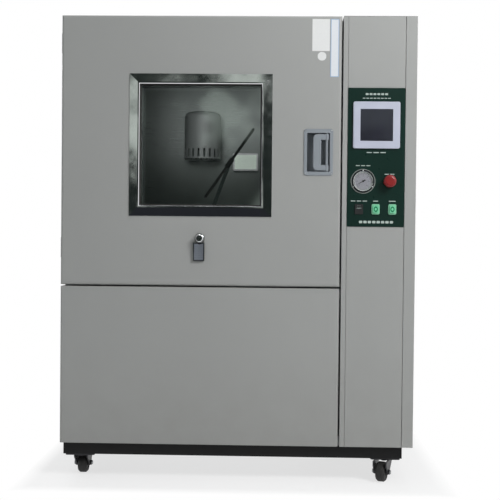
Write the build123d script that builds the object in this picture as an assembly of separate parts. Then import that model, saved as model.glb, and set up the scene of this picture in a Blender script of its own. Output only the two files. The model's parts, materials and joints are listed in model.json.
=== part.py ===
from build123d import *
from math import cos, hypot, radians, sin
import os

# Sand and dust test chamber on casters. Millimetres, seen from the front: +X right, +Y to the back, +Z up.
# The origin is on the floor under the middle of the cabinet.

os.makedirs("parts", exist_ok=True)

# Cabinet
body_width = 1140
body_depth = 1100
body_height = 1380
caster_height = 78
base_tube = 40
base_wall = 2.5
base_inset_left = 9
base_inset_right = 32
base_inset_front = 20
base_inset_back = 10
frame_tube = 30
post_wall = 2
cross_rail_wall = 2.5
side_rail_wall = 3
sheet = 1.5
cover_edge = 10.2
side_return = 34.2
front_cover_depth = 21.7
column_width = 235
post_width = 16
lower_panel_height = 508
edge_radius = 8
seat_gap = 0.3
panel_gap = 1.3

# Door
door_thickness = 60
door_gap = 5
gasket_space = 12
gasket_width = 20
gasket_margin = 6
collar_sheet = 2
inner_panel_sheet = 2
hinge_length = 64
hinge_proud = 8.7
hinge_barrel_radius = 6
hinge_pin_radius = 3
hinge_leaf_length = 40
hinge_leaf = 3.5
hinge_heights = (750.5, 1410)
run_gap = 0.05
knuckle_gap = 0.5

# Window and wiper
window_width = 459
window_height = 456.6
window_frame_width = 33.5
window_frame_height = 12
window_x = -120
window_z = 1082.7
glass = 6
glass_lap = 4
glass_gap = 2
spacer_wall = 10
retainer_width = 21
retainer_height = 4
wiper_z = 784
wiper_arm_length = 263
wiper_rest_angle = 20
wiper_blade_length = 279
wiper_blade_angle = 35
wiper_blade_width = 6
wiper_arm_width = 12
wiper_spindle_radius = 5
wiper_knob_radius = 12
wiper_knob_height = 24
wiper_bush_radius = 9

# Handle and latch
handle_x = 257.8
handle_z = 1062.5
handle_width = 93.5
handle_height = 149
handle_bezel = 3
recess_width = 72.7
recess_height = 124
recess_depth = 38
recess_wall = 2
lever_finger_gap = 19
lever_side_gap = 2.7
lever_end_gap = 3.5
lever_thickness = 12
lever_bar = 26
lever_arm = 18
lever_pin_radius = 4
bolt_width = 14
bolt_height = 20
bolt_length = 28
bolt_reach = 3
latch_wall = 6
striker_sheet = 1.2

# Test space, hopper and air circuit
liner_setback = 50
liner_rise = 54
space_width = 800
space_depth = 800
liner_flange = 30
shelf_height = 14
shelf_rod_radius = 3
shelf_rods = 15
shelf_margin = 8
ledge = 22
throat = 150
hopper_height = 320
hopper_margin = 8
hopper_neck = 8
scroll_start = 105
scroll_step = 13.4
scroll_height = 100
impeller_radius = 82
impeller_blades = 8
shaft_radius = 8
motor_radius = 55
motor_height = 90
riser_depth = 100
riser_y = 390
cowl_x = -174
cowl_radius = 73.5
cowl_bottom = 1100
cowl_height = 189
cowl_slots = 20
cowl_offset = 11
cowl_stub_width = 80
riser_overlap = 55
lamp_x = -2
lamp_z = 1095
lamp_width = 104
lamp_height = 72
lamp_depth = 26
probe_radius = 4

# Controls
plate_width = 182
plate_height = 443
plate_top = 1269
plate_sheet = 2
screen_bezel = 149
screen_drop = 119
screen_width = 103
screen_height = 101
controller_case = 122
controller_depth = 72
gauge_x = -41
gauge_drop = 298
gauge_flange_radius = 39
gauge_radius = 31
gauge_height = 9
needle_length = 21
stop_x = 43
stop_radius = 20
stop_base_radius = 15
stop_travel = 5
button_drop = 387
button_width = 26
button_height = 33
button_step = 9
button_travel = 3
power_x = 53
timer_x = -53
timer_width = 26
timer_height = 32
switch_depth = 42

# Casters
wheel_radius = 32
wheel_width = 34
axle_radius = 5
caster_trail = 30
fork_wall = 4
fork_gap = 2
caster_plate_width = 95
caster_plate_depth = 76
caster_plate = 6
caster_inset_x = 52
caster_inset_y = 45
kingpin_radius = 8
caster_turns = {"fl": 90, "fr": 250, "rl": 90, "rr": 75}

# Rear
gland_x = 441
gland_z = 200
gland_bore = 7
gland_radius = 14
gland_length = 22
louvre_rows = 7
louvre_length = 90
louvre_pitch = 16
louvre_height = 6

# Levels and planes that follow from the sizes above
left = -body_width / 2
right = body_width / 2
front = -body_depth / 2
back = body_depth / 2
base_bottom = caster_height
base_top = base_bottom + base_tube
roof = base_top + body_height
sill = base_top + lower_panel_height
door_bottom = sill + door_gap
column_left = right - column_width
door_right = column_left - door_gap
door_back = front + door_thickness
ring_front = door_back + gasket_space
ring_back = ring_front + collar_sheet
skin_bottom = base_top + seat_gap
skin_top = roof - sheet - seat_gap
skin_back = back - sheet - seat_gap
frame_left = left + sheet + cover_edge + seat_gap
frame_right = right - sheet - side_return - seat_gap
frame_front = front + front_cover_depth + seat_gap
frame_back = back - sheet - cover_edge - seat_gap
frame_top = roof - sheet - cover_edge - seat_gap
sill_rail = sill - sheet - seat_gap - frame_tube
ring_post = ring_back + seat_gap
rear_post = frame_back - frame_tube
partition = column_left + 4
liner_left = left + liner_setback
liner_right = liner_left + space_width
liner_front = ring_front
liner_back = liner_front + space_depth
liner_floor = sill + liner_rise
liner_top = roof - liner_setback
liner_rail = liner_floor - sheet - seat_gap - frame_tube
space_x = (liner_left + liner_right) / 2
space_y = (liner_front + liner_back) / 2
floor_top = base_top + 2
insulation_front = ring_post + frame_tube + 5
insulation_back = rear_post - 5
panel_left = column_left + post_width
panel_right = frame_right - panel_gap
panel_x = (panel_left + panel_right) / 2
panel_y = front
device_front = front - plate_sheet
hinge_x = left - hinge_proud + hinge_barrel_radius
hinge_y = (door_back + ring_front) / 2
throat_bottom = liner_floor - hopper_height
inlet_height = 12
scroll_top = throat_bottom - inlet_height
scroll_bottom = scroll_top - scroll_height
stand_top = scroll_bottom
scroll_end = scroll_start + 6 * scroll_step
riser_right = space_x + scroll_step - scroll_start
riser_left = space_x - scroll_step - scroll_end
riser_back = riser_y + riser_depth
riser_top = cowl_bottom + cowl_height - 46
probe_y = liner_back - 72
probe_z = liner_top - 28
cowl_y = liner_back - cowl_radius - cowl_offset
glass_left = window_x - window_width / 2 + window_frame_width - glass_lap
glass_right = window_x + window_width / 2 - window_frame_width + glass_lap
glass_bottom = window_z - window_height / 2 + window_frame_width - glass_lap
glass_top = window_z + window_height / 2 - window_frame_width + glass_lap
inner_face = door_back
lever_y = front + lever_thickness / 2 - 2
lever_pivot_radius = lever_thickness / 2 + 1
lever_right = handle_x + recess_width / 2 - lever_side_gap
lever_pivot_x = lever_right - lever_pivot_radius
lever_left = handle_x - recess_width / 2 + lever_finger_gap
lever_bottom = handle_z - recess_height / 2 + lever_end_gap
lever_top = handle_z + recess_height / 2 - lever_end_gap
bolt_y = front + 27
fork_inside = wheel_width / 2 + fork_gap
fork_outside = fork_inside + fork_wall
crown_bottom = 2 * wheel_radius + 2
crown_top = crown_bottom + fork_wall


def block(x0, x1, y0, y1, z0, z1):
    """A box between two corners."""
    return Pos((x0 + x1) / 2, (y0 + y1) / 2, (z0 + z1) / 2) * Box(x1 - x0, y1 - y0, z1 - z0)


def rod_x(x0, x1, y, z, radius):
    """A round bar along X."""
    return Pos((x0 + x1) / 2, y, z) * Rot(0, 90, 0) * Cylinder(radius, x1 - x0)


def rod_y(y0, y1, x, z, radius):
    """A round bar along Y."""
    return Pos(x, (y0 + y1) / 2, z) * Rot(90, 0, 0) * Cylinder(radius, y1 - y0)


def rod_z(z0, z1, x, y, radius):
    """A round bar along Z."""
    return Pos(x, y, (z0 + z1) / 2) * Cylinder(radius, z1 - z0)


def front_plate(x, z, width, height, radius, y0, y1):
    """A plate with rounded corners that faces the front, from y0 to y1."""
    outline = Plane(origin=(x, y1, z), x_dir=(1, 0, 0), z_dir=(0, -1, 0)) * RectangleRounded(width, height, radius)
    return extrude(outline, amount=y1 - y0)


def ring_y(x0, x1, z0, z1, width, y0, y1):
    """A rectangular ring around an opening, width wide, from y0 to y1."""
    outer = block(x0 - width, x1 + width, y0, y1, z0 - width, z1 + width)
    return outer - block(x0, x1, y0 - 1, y1 + 1, z0, z1)


def tray(x0, x1, y0, y1, z0, z1, open_to):
    """A folded sheet pan that is open on one side, named +X, -X, +Y, -Y, +Z or -Z."""
    low = [x0 + sheet, y0 + sheet, z0 + sheet]
    high = [x1 - sheet, y1 - sheet, z1 - sheet]
    axis = "XYZ".index(open_to[1])
    if open_to[0] == "+":
        high[axis] += 2 * sheet
    else:
        low[axis] -= 2 * sheet
    return block(x0, x1, y0, y1, z0, z1) - block(low[0], high[0], low[1], high[1], low[2], high[2])


def group(*pieces):
    """Separate solids that share one node."""
    return Compound([solid for piece in pieces for solid in piece.solids()])


def save(shape, node):
    export_step(shape, f"parts/{node}.step")


# Base and casters

def make_base_frame():
    x0 = left + base_inset_left
    x1 = right - base_inset_right
    y0 = front + base_inset_front
    y1 = back - base_inset_back
    outer = block(x0, x1, y0, y1, base_bottom, base_top)
    outer -= block(x0 + base_tube, x1 - base_tube, y0 + base_tube, y1 - base_tube, base_bottom - 1, base_top + 1)
    cross_x = partition
    outer += block(cross_x - base_tube, cross_x, y0 + base_tube / 2, y1 - base_tube / 2, base_bottom, base_top)
    z0 = base_bottom + base_wall
    z1 = base_top - base_wall
    hollow = block(x0 + base_wall, x1 - base_wall, y0 + base_wall, y1 - base_wall, z0, z1)
    core = base_tube - base_wall
    hollow -= block(x0 + core, x1 - core, y0 + core, y1 - core, z0 - 1, z1 + 1)
    hollow += block(cross_x - core, cross_x - base_wall, y0 + base_tube / 2, y1 - base_tube / 2, z0, z1)
    outer -= hollow
    for x in (x0 + 2 * base_tube, x1 - 2 * base_tube):
        outer -= rod_z(base_bottom - 1, base_bottom + base_wall + 1, x, y0 + base_tube / 2, 4)
    return outer


def caster_places():
    """The swivel axis of each caster, by corner."""
    x0 = left + base_inset_left + caster_inset_x
    x1 = right - base_inset_right - caster_inset_x
    y0 = front + base_inset_front + caster_inset_y
    y1 = back - base_inset_back - caster_inset_y
    return {"fl": (x0, y0), "fr": (x1, y0), "rl": (x0, y1), "rr": (x1, y1)}


def make_caster_plates():
    plates = []
    for x, y in caster_places().values():
        plate = Pos(x, y, base_bottom - caster_plate / 2) * Box(caster_plate_width, caster_plate_depth, caster_plate)
        plate = fillet(plate.edges().filter_by(Axis.Z), 8)
        plate += rod_z(crown_top + 0.5, base_bottom - caster_plate, x, y, 22)
        plate += rod_z(crown_bottom - 0.5, base_bottom - caster_plate, x, y, kingpin_radius)
        plate += rod_z(crown_bottom - 3.5, crown_bottom - 0.5, x, y, kingpin_radius + 2)
        plates.append(plate)
    return group(*plates)


def pedal_pivot():
    """Where the brake pedal's pin crosses the fork, along the trail and up."""
    reach = wheel_radius + 6
    return caster_trail + reach * cos(radians(50)), wheel_radius + reach * sin(radians(50))


def make_fork(braked):
    tail, high = pedal_pivot()
    outline = Polyline((-18, crown_top), (tail + 5, crown_top), (tail + 5, high - 6), (caster_trail + 9, 24),
                       (caster_trail - 9, 24), (-18, crown_bottom - 4), close=True)
    side = extrude(Plane.XZ * make_face(outline), amount=fork_wall)
    side = fillet(side.edges().filter_by(Axis.Y).group_by(Axis.Z)[0], 6)
    fork = Pos(0, -fork_inside, 0) * side + Pos(0, fork_outside, 0) * side
    fork += block(-18, tail + 5, -fork_outside, fork_outside, crown_bottom, crown_top)
    fork -= block(caster_trail - 14, tail + 6, -fork_inside, fork_inside, crown_bottom - 1, crown_top + 1)
    fork -= rod_z(crown_bottom - 1, crown_top + 1, 0, 0, kingpin_radius + run_gap)
    fork += rod_y(-fork_outside, fork_outside, caster_trail, wheel_radius, axle_radius)
    for y in (-fork_outside - 4, fork_outside):
        fork += rod_y(y, y + 4, caster_trail, wheel_radius, 8)
    if braked:
        fork += rod_y(-fork_outside, fork_outside, tail, high, 2.5)
    return fork


def make_wheel():
    half = wheel_width / 2
    profile = Polyline((axle_radius + run_gap, -half), (10, -half), (12, 4 - half), (20, 4 - half), (22, 2 - half),
                       (wheel_radius - 5, 2 - half), (wheel_radius, 8 - half), (wheel_radius, half - 8),
                       (wheel_radius - 5, half - 2), (22, half - 2), (20, half - 4), (12, half - 4),
                       (10, half), (axle_radius + run_gap, half), close=True)
    wheel = revolve(Plane.XZ * make_face(profile), Axis.Z)
    return Pos(caster_trail, 0, wheel_radius) * Rot(90, 0, 0) * wheel


def make_brake():
    """A foot pedal that hangs on its pin and presses a shoe on the tread."""
    tail, high = pedal_pivot()
    width = 2 * fork_inside - 2
    pedal = rod_y(-width / 2, width / 2, tail, high, 5)
    pedal += block(tail, tail + 34, -width / 2, width / 2, high - 1, high + 3)
    pedal = fillet(pedal.edges().filter_by(Axis.Z).group_by(Axis.X)[-1], 6)
    pedal -= rod_y(-width, width, tail, high, 2.5 + run_gap)
    return pedal


def place_caster(shape, corner):
    x, y = caster_places()[corner]
    return Pos(x, y, 0) * Rot(0, 0, caster_turns[corner]) * shape


# Cabinet

def make_cabinet_frame():
    """A welded skeleton of square tube, hollow and open at the ends of its posts."""
    t = frame_tube
    posts = [
        (frame_left, frame_front, base_top, sill_rail + t),
        (frame_left, ring_post, sill_rail, frame_top),
        (frame_left, rear_post, base_top, frame_top),
        (partition, frame_front, base_top, frame_top),
        (partition, ring_post, sill_rail, frame_top),
        (partition, rear_post, base_top, frame_top),
        (frame_right - t, frame_front, base_top, frame_top),
        (frame_right - t, rear_post, base_top, frame_top),
    ]
    top_rail = frame_top - t
    liner_rear_rail = liner_back + 10
    rails_x = [
        (frame_left, frame_right, frame_front, base_top),
        (frame_left, frame_right, rear_post, base_top),
        (frame_left, partition + t, frame_front, sill_rail),
        (liner_right + 10, partition + t, ring_post, liner_rail),
        (frame_left, partition + t, liner_rear_rail, liner_rail),
        (frame_left, partition + t, ring_post, top_rail),
        (partition, frame_right, frame_front, top_rail),
        (frame_left, frame_right, rear_post, top_rail),
    ]
    rails_y = [
        (frame_left, frame_front, frame_back, base_top),
        (partition, frame_front, frame_back, base_top),
        (frame_right - t, frame_front, frame_back, base_top),
        (frame_left, frame_front, ring_post + t, sill_rail),
        (partition, frame_front, ring_post + t, sill_rail),
        (frame_left, ring_post, frame_back, liner_rail),
        (liner_right + 10, ring_post, liner_rear_rail + t, liner_rail),
        (partition, ring_post, frame_back, liner_rail),
        (frame_left, ring_post, frame_back, top_rail),
        (partition, frame_front, frame_back, top_rail),
        (frame_right - t, frame_front, frame_back, top_rail),
    ]
    outer = []
    inner = []
    half = t / 2
    w = post_wall
    for x, y, z0, z1 in posts:
        outer.append(block(x, x + t, y, y + t, z0, z1))
        inner.append(block(x + w, x + t - w, y + w, y + t - w, z0 - 1, z1 + 1))
    w = cross_rail_wall
    for x0, x1, y, z in rails_x:
        outer.append(block(x0, x1, y, y + t, z, z + t))
        inner.append(block(x0 + half, x1 - half, y + w, y + t - w, z + w, z + t - w))
    w = side_rail_wall
    for x, y0, y1, z in rails_y:
        outer.append(block(x, x + t, y0, y1, z, z + t))
        inner.append(block(x + w, x + t - w, y0 + half, y1 - half, z + w, z + t - w))
    frame = outer[0].fuse(*outer[1:])
    return frame.cut(*inner)


def make_left_side_panel():
    """The left cover steps back above the sill, where the door's edge shows."""
    low_front = frame_front + 2
    low_top = sill - sheet - seat_gap
    inside = frame_left - seat_gap
    cover = block(left, inside, ring_post, skin_back, skin_bottom, skin_top)
    cover += block(left, inside, low_front, skin_back, skin_bottom, low_top)
    room = block(left + sheet, inside + 1, ring_post + sheet, skin_back - sheet, skin_bottom + sheet,
                 skin_top - sheet)
    room += block(left + sheet, inside + 1, low_front + sheet, skin_back - sheet, skin_bottom + sheet,
                  low_top - sheet)
    return cover - room


def make_right_side_panel():
    """The right cover is a deep pan whose front return is the strip beside the control column."""
    cover = tray(frame_right + seat_gap, right, front, skin_back, skin_bottom, skin_top, "-X")
    edge = cover.edges().filter_by(Axis.Z).group_by(Axis.Y)[0].sort_by(Axis.X)[-1]
    cover = fillet(edge, sheet)
    for column in range(2):
        for row in range(louvre_rows):
            z = base_top + 130 + row * louvre_pitch
            y = -120 + column * 2 * louvre_length
            cover -= block(right - 2 * sheet, right + 1, y, y + louvre_length, z, z + louvre_height)
    return cover


def make_top_panel():
    """An L-shaped roof: set back over the door, flush over the control column."""
    roof_sheet = block(left, right, ring_front, back, roof - sheet, roof)
    roof_sheet += block(column_left, right, front, back, roof - sheet, roof)
    inset = sheet + cover_edge + 1
    z0 = frame_top + seat_gap
    x0 = left + inset
    x1 = frame_right - panel_gap - sheet
    y1 = back - inset
    lips = block(x0, x0 + sheet, ring_post + 2, y1, z0, roof - sheet)
    lips += block(x1 - sheet, x1, frame_front + 2, y1, z0, roof - sheet)
    lips += block(x0, x1, y1 - sheet, y1, z0, roof - sheet)
    return roof_sheet + lips


def make_rear_panel():
    skin = block(left, right, back - sheet, back, skin_bottom, skin_top)
    inset = sheet + cover_edge + 1
    y0 = frame_back + seat_gap
    x0 = left + inset
    x1 = frame_right - panel_gap
    z0 = skin_bottom + inset
    z1 = skin_top - inset
    lips = block(x0, x1, y0, back - sheet, z0, z1)
    lips -= block(x0 + sheet, x1 - sheet, y0 - 1, back, z0 + sheet, z1 - sheet)
    skin += lips
    skin -= rod_y(back - sheet - 1, back + 1, gland_x, gland_z, gland_radius - 2)
    hood = Polyline((0, 0), (louvre_height, 0), (0, louvre_height), close=True)
    for column in range(3):
        for row in range(louvre_rows):
            x = -420 + column * 2 * louvre_length
            z = base_top + 130 + row * louvre_pitch
            mouth = Plane(origin=(x, back, z), x_dir=(0, 1, 0), z_dir=(1, 0, 0)) * make_face(hood)
            skin += extrude(mouth, amount=louvre_length)
            hollow = Polyline((-2 * sheet, -1), (louvre_height - sheet, -1), (-sheet, louvre_height - sheet),
                              (-2 * sheet, louvre_height - sheet), close=True)
            inside = Plane(origin=(x + sheet, back, z), x_dir=(0, 1, 0), z_dir=(1, 0, 0)) * make_face(hollow)
            skin -= extrude(inside, amount=louvre_length - 2 * sheet)
    return skin


def make_lower_front_panel():
    """The pan under the door, whose top runs back as the sill."""
    depth_back = front + front_cover_depth
    pan = block(left, door_right, front, depth_back, skin_bottom, sill)
    pan = fillet(pan.edges().filter_by(Axis.Z).group_by(Axis.Y)[0], edge_radius)
    pan -= block(left + sheet, door_right - sheet, front + edge_radius, depth_back + 1, skin_bottom + sheet,
                 sill - sheet)
    pan -= block(left + edge_radius, door_right - edge_radius, front + sheet, depth_back, skin_bottom + sheet,
                 sill - sheet)
    pan += block(left + 1, door_right, depth_back - 1, ring_front - seat_gap, sill - sheet, sill)
    return pan


def make_column_post_cover():
    """A folded strip between the door and the control column, and the striker plate on its side."""
    x1 = panel_left - 1
    cover = block(column_left, x1, front, frame_front - seat_gap, skin_bottom, skin_top)
    cover += block(column_left, column_left + sheet, front, ring_front - seat_gap, sill + seat_gap, skin_top)
    cover -= block(column_left + sheet, x1 - sheet, front + sheet, frame_front, skin_bottom - 1, skin_top + 1)
    cover -= block(column_left + sheet, partition, frame_front - 1, ring_front, skin_bottom - 1, skin_top + 1)
    striker = block(column_left - striker_sheet, column_left, front + 4, front + 52, handle_z - 36, handle_z + 36)
    striker = fillet(striker.edges().filter_by(Axis.X), 5)
    for z in (handle_z - 26, handle_z + 26):
        striker -= rod_x(column_left - 5, column_left + 1, bolt_y, z, 2.6)
    return group(cover, striker)


def device_x(offset):
    return panel_x + offset


def device_z(drop):
    return plate_top - drop


def device_holes(y0, y1, clearance):
    """The openings that the column panel and the control plate share for the devices."""
    case = controller_case + 2 * clearance
    holes = Pos(device_x(0), (y0 + y1) / 2, device_z(screen_drop)) * Box(case, y1 - y0, case)
    holes += rod_y(y0, y1, device_x(gauge_x), device_z(gauge_drop), gauge_radius - 2 + clearance)
    holes += rod_y(y0, y1, device_x(stop_x), device_z(gauge_drop), stop_base_radius - 4 + clearance)
    for x in (0, power_x):
        holes += front_plate(device_x(x), device_z(button_drop), button_width - button_step + 2 * clearance,
                             button_height - 4 + 2 * clearance, 3, y0, y1)
    holes += front_plate(device_x(timer_x), device_z(button_drop), timer_width - 4 + 2 * clearance,
                         timer_height - 4 + 2 * clearance, 1, y0, y1)
    return holes


def make_column_front_panel():
    pan = tray(panel_left, panel_right, front, front + front_cover_depth, skin_bottom, skin_top, "+Y")
    return pan - device_holes(front - 1, front + 3, 1)


def make_opening_collar():
    """The painted face that the door closes on, around the mouth of the test space."""
    gap = sheet + seat_gap
    face = block(left, column_left, ring_front, ring_back, sill - sheet, skin_top)
    return face - block(liner_left - gap, liner_right + gap, ring_front - 1, ring_back + 1, liner_floor - gap,
                        liner_top + gap)


def make_insulation():
    gap = sheet + seat_gap
    z0 = liner_floor + gap
    z1 = frame_top - frame_tube - 4
    slabs = [
        block(left + gap, liner_left - gap, insulation_front, insulation_back, z0, z1),
        block(liner_right + gap, partition - seat_gap, insulation_front, insulation_back, z0, z1)
        - rod_x(liner_right, partition, probe_y, probe_z, probe_radius + seat_gap),
        block(liner_left + 2, partition - 8, insulation_front, insulation_back, liner_top + gap, roof - gap),
    ]
    rear = block(liner_left, liner_right, liner_back + gap, riser_y - 10, z0 + 4, liner_top)
    stub_top = riser_top + seat_gap
    stub_bottom = riser_top - riser_depth - seat_gap
    half = cowl_stub_width / 2 + sheet + seat_gap
    rear -= block(cowl_x - half, cowl_x + half, liner_back, riser_y, stub_bottom, stub_top)
    return group(*slabs, rear)


def make_inner_plates():
    """The floor plate, and the plate that carries the switchgear in the column."""
    x0 = frame_left + frame_tube + seat_gap
    floor_plate = block(x0, frame_right - frame_tube - seat_gap, frame_front + frame_tube + seat_gap,
                        rear_post - seat_gap, base_top, floor_top)
    middle = block(partition - seat_gap, partition + frame_tube + seat_gap, frame_front, frame_back, base_top - 1,
                   floor_top + 1)
    floor_plate -= middle
    x1 = partition + frame_tube + seat_gap
    gear = block(x1, x1 + 2, frame_front + 10, frame_back - 10, 640, 1380)
    for z in (760, 960, 1160):
        gear += block(x1 + 2, x1 + 9, -400, 300, z - 17, z + 17)
        for i in range(9):
            gear += block(x1 + 9, x1 + 60, -390 + i * 70, -335 + i * 70, z - 42, z + 42)
    return group(floor_plate, gear)


def make_mains_gland():
    y0 = back
    gland = rod_y(y0, y0 + 8, gland_x, gland_z, gland_radius + 3)
    hexagon = Plane(origin=(gland_x, y0 + 8, gland_z), x_dir=(1, 0, 0), z_dir=(0, 1, 0))
    gland += extrude(hexagon * RegularPolygon(gland_radius, 6), amount=8)
    gland += rod_y(y0 + 16, y0 + gland_length, gland_x, gland_z, gland_radius - 3)
    gland += rod_y(y0 - 12, y0 + 1, gland_x, gland_z, gland_radius - 2 - seat_gap)
    return gland - rod_y(y0 - 13, y0 + gland_length + 1, gland_x, gland_z, gland_bore)


# Test space and air circuit

def make_test_space_liner():
    x0 = liner_left - sheet
    x1 = liner_right + sheet
    y1 = liner_back + sheet
    liner = block(x0, x1, liner_front, y1, liner_floor, liner_top + sheet)
    flange = liner_flange + sheet
    liner += block(x0 - flange, x1 + flange, ring_post + frame_tube + 1, y1 + flange, liner_floor,
                   liner_floor + sheet)
    liner -= block(liner_left, liner_right, liner_front - 1, liner_back, liner_floor - 1, liner_top)
    z = liner_floor + shelf_height
    for x in (liner_left, liner_right - ledge):
        liner += block(x, x + ledge, liner_front + 60, liner_back - 60, z - 2, z)
        wall = x if x == liner_left else x + ledge - 2
        liner += block(wall, wall + 2, liner_front + 60, liner_back - 60, z - 12, z)
    half = cowl_stub_width / 2
    liner -= block(cowl_x - half, cowl_x + half, liner_back - 1, y1 + 1, riser_top - riser_depth + sheet,
                   riser_top - sheet)
    return liner - rod_x(liner_right - 1, x1 + 1, probe_y, probe_z, probe_radius + 1)


def make_dust_hopper():
    """A square funnel that ends in a short square neck."""
    margin = 2 * hopper_margin
    middle = Pos(space_x, space_y, 0)

    def funnel(grow):
        top = Plane.XY.offset(liner_floor) * Rectangle(space_width - margin + 2 * grow, space_depth - margin + 2 * grow)
        foot = Plane.XY.offset(throat_bottom + hopper_neck) * Rectangle(throat + 2 * grow, throat + 2 * grow)
        return middle * loft([foot, top])

    flange = liner_flange + sheet
    x0 = liner_left - sheet
    x1 = liner_right + sheet
    y1 = liner_back + sheet
    hopper = funnel(sheet)
    hopper += block(x0, x1, ring_post, y1, liner_floor - sheet, liner_floor)
    hopper += block(x0 - flange, x1 + flange, ring_post + frame_tube + 1, y1 + flange, liner_floor - sheet,
                    liner_floor)
    neck = throat + 2 * sheet
    hopper += middle * Pos(0, 0, throat_bottom + hopper_neck / 2) * Box(neck, neck, hopper_neck)
    hopper += middle * Pos(0, 0, throat_bottom + sheet) * Box(neck + 40, neck + 40, 2 * sheet)
    hopper -= funnel(0)
    return hopper - middle * Pos(0, 0, throat_bottom) * Box(throat, throat, 3 * hopper_neck)


def make_specimen_shelf():
    """A wire grid that lies on the ledges of the liner."""
    edge = shelf_rod_radius + 1
    z = liner_floor + shelf_height + edge
    x0 = liner_left + shelf_margin
    x1 = liner_right - shelf_margin
    y0 = liner_front + 2 * shelf_margin
    y1 = liner_back - shelf_margin
    shelf = rod_x(x0, x1, y0, z, edge)
    shelf += rod_x(x0, x1, y1, z, edge)
    shelf += rod_x(x0 + 2 * edge, x1 - 2 * edge, (y0 + y1) / 2, z, edge)
    for i in range(shelf_rods):
        x = x0 + edge + (x1 - x0 - 2 * edge) * i / (shelf_rods - 1)
        shelf += rod_y(y0, y1, x, z, shelf_rod_radius)
    return shelf


def make_air_outlet_cowl():
    """A domed sleeve on the rear wall, open below, with slots around its lower edge."""
    wall = 2
    dome = 24
    top = cowl_bottom + cowl_height
    cowl = rod_z(cowl_bottom, top, cowl_x, cowl_y, cowl_radius)
    cowl = fillet(cowl.edges().group_by(Axis.Z)[-1], dome)
    hollow = rod_z(cowl_bottom - 10, top - wall, cowl_x, cowl_y, cowl_radius - wall)
    hollow = fillet(hollow.edges().group_by(Axis.Z)[-1], dome - wall)
    # The stub passes through the rear wall, and a square flange seals it there.
    stub_z0 = riser_top - riser_depth
    stub_half = cowl_stub_width / 2
    cowl += block(cowl_x - stub_half - 5, cowl_x + stub_half + 5, cowl_y, liner_back - 3, stub_z0 - 5, riser_top + 5)
    cowl += block(cowl_x - stub_half - 20, cowl_x + stub_half + 20, liner_back - 3, liner_back, stub_z0 - 18,
                  riser_top + 18)
    cowl -= hollow
    cowl -= block(cowl_x - stub_half, cowl_x + stub_half, cowl_y, liner_back + 1, stub_z0, riser_top)
    slot = Pos(cowl_radius, 0, cowl_bottom + 23) * Box(20, 8, 34)
    pitch = 360 / cowl_slots
    slots = [Pos(cowl_x, cowl_y, 0) * Rot(0, 0, pitch * (i + 0.5)) * slot for i in range(cowl_slots)]
    return cowl.cut(*slots)


def make_chamber_fittings():
    """The lamp on the rear wall and the temperature probe in the right wall."""
    y0 = liner_back - lamp_depth
    lamp = front_plate(lamp_x, lamp_z, lamp_width, lamp_height, 8, y0, liner_back)
    lamp -= front_plate(lamp_x, lamp_z, lamp_width - 14, lamp_height - 14, 5, y0 - 1, y0 + 2)
    probe = rod_x(liner_right - 90, liner_right + 30, probe_y, probe_z, probe_radius)
    probe += rod_x(liner_right - 8, liner_right, probe_y, probe_z, probe_radius + 7)
    return group(lamp, probe)


def scroll_face(start, step, bottom_y):
    """A spiral of four quarter circles that ends in a straight outlet towards the back."""
    e = step
    r = [start, start + 2 * e, start + 4 * e, start + 6 * e]
    lines = [
        CenterArc((-e, e), r[0], 0, 90),
        CenterArc((-e, -e), r[1], 90, 90),
        CenterArc((e, -e), r[2], 180, 90),
        CenterArc((e, e), r[3], 270, 90),
        Line((e + r[3], e), (e + r[3], bottom_y)),
        Line((e + r[3], bottom_y), (r[0] - e, bottom_y)),
        Line((r[0] - e, bottom_y), (r[0] - e, e)),
    ]
    return make_face(lines)


def make_blower_housing():
    """The spiral housing under the hopper, and the stand that carries it on the floor plate."""
    outlet = riser_y - space_y - 40
    wall = 2
    solid = extrude(scroll_face(scroll_start, scroll_step, outlet), amount=scroll_height)
    hollow = extrude(scroll_face(scroll_start - wall, scroll_step, outlet + 1), amount=scroll_height - 2 * wall)
    # The outlet's inner side wall stays, because the hollow ends short of it.
    keep = Pos(scroll_start - scroll_step + 1 - wall, outlet / 2 + 20, 0) * Box(2 * wall, outlet, 3 * scroll_height)
    housing = solid - Pos(0, 0, wall) * (hollow - keep)
    housing = mirror(housing, Plane.YZ)
    housing = Pos(space_x, space_y, scroll_bottom) * housing
    z1 = throat_bottom
    neck = throat + 2 * sheet + 40
    housing += Pos(space_x, space_y, z1 - sheet) * Box(neck, neck, 2 * sheet)
    housing += rod_z(scroll_top - 1, z1, space_x, space_y, throat / 2 + 2)
    housing -= rod_z(scroll_top - wall - 1, z1 + 1, space_x, space_y, throat / 2)
    housing -= rod_z(scroll_bottom - 1, scroll_bottom + wall + 1, space_x, space_y, shaft_radius + 2)
    side = 110
    stand = Pos(space_x, space_y, stand_top - 2) * Box(2 * side + 30, 2 * side + 30, 4)
    for x in (-side, side):
        for y in (-side, side):
            stand += block(space_x + x - 12, space_x + x + 12, space_y + y - 12, space_y + y + 12, floor_top,
                           stand_top - 3)
    stand -= rod_z(stand_top - 5, stand_top + 1, space_x, space_y, shaft_radius + 6)
    return group(housing, stand)


def make_blower_impeller():
    """A paddle wheel with straight blades, as dusty air needs, on its shaft."""
    z0 = scroll_bottom + 5
    wheel = rod_z(z0, z0 + 3, space_x, space_y, impeller_radius)
    wheel += rod_z(z0, z0 + 60, space_x, space_y, 16)
    for i in range(impeller_blades):
        blade = Pos((impeller_radius + 14) / 2, 0, z0 + 43) * Box(impeller_radius - 14, 3, 82)
        wheel += Pos(space_x, space_y, 0) * Rot(0, 0, 360 * i / impeller_blades) * blade
    wheel += rod_z(stand_top - 4 - motor_height + 20, z0 + 1, space_x, space_y, shaft_radius)
    return wheel


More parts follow.
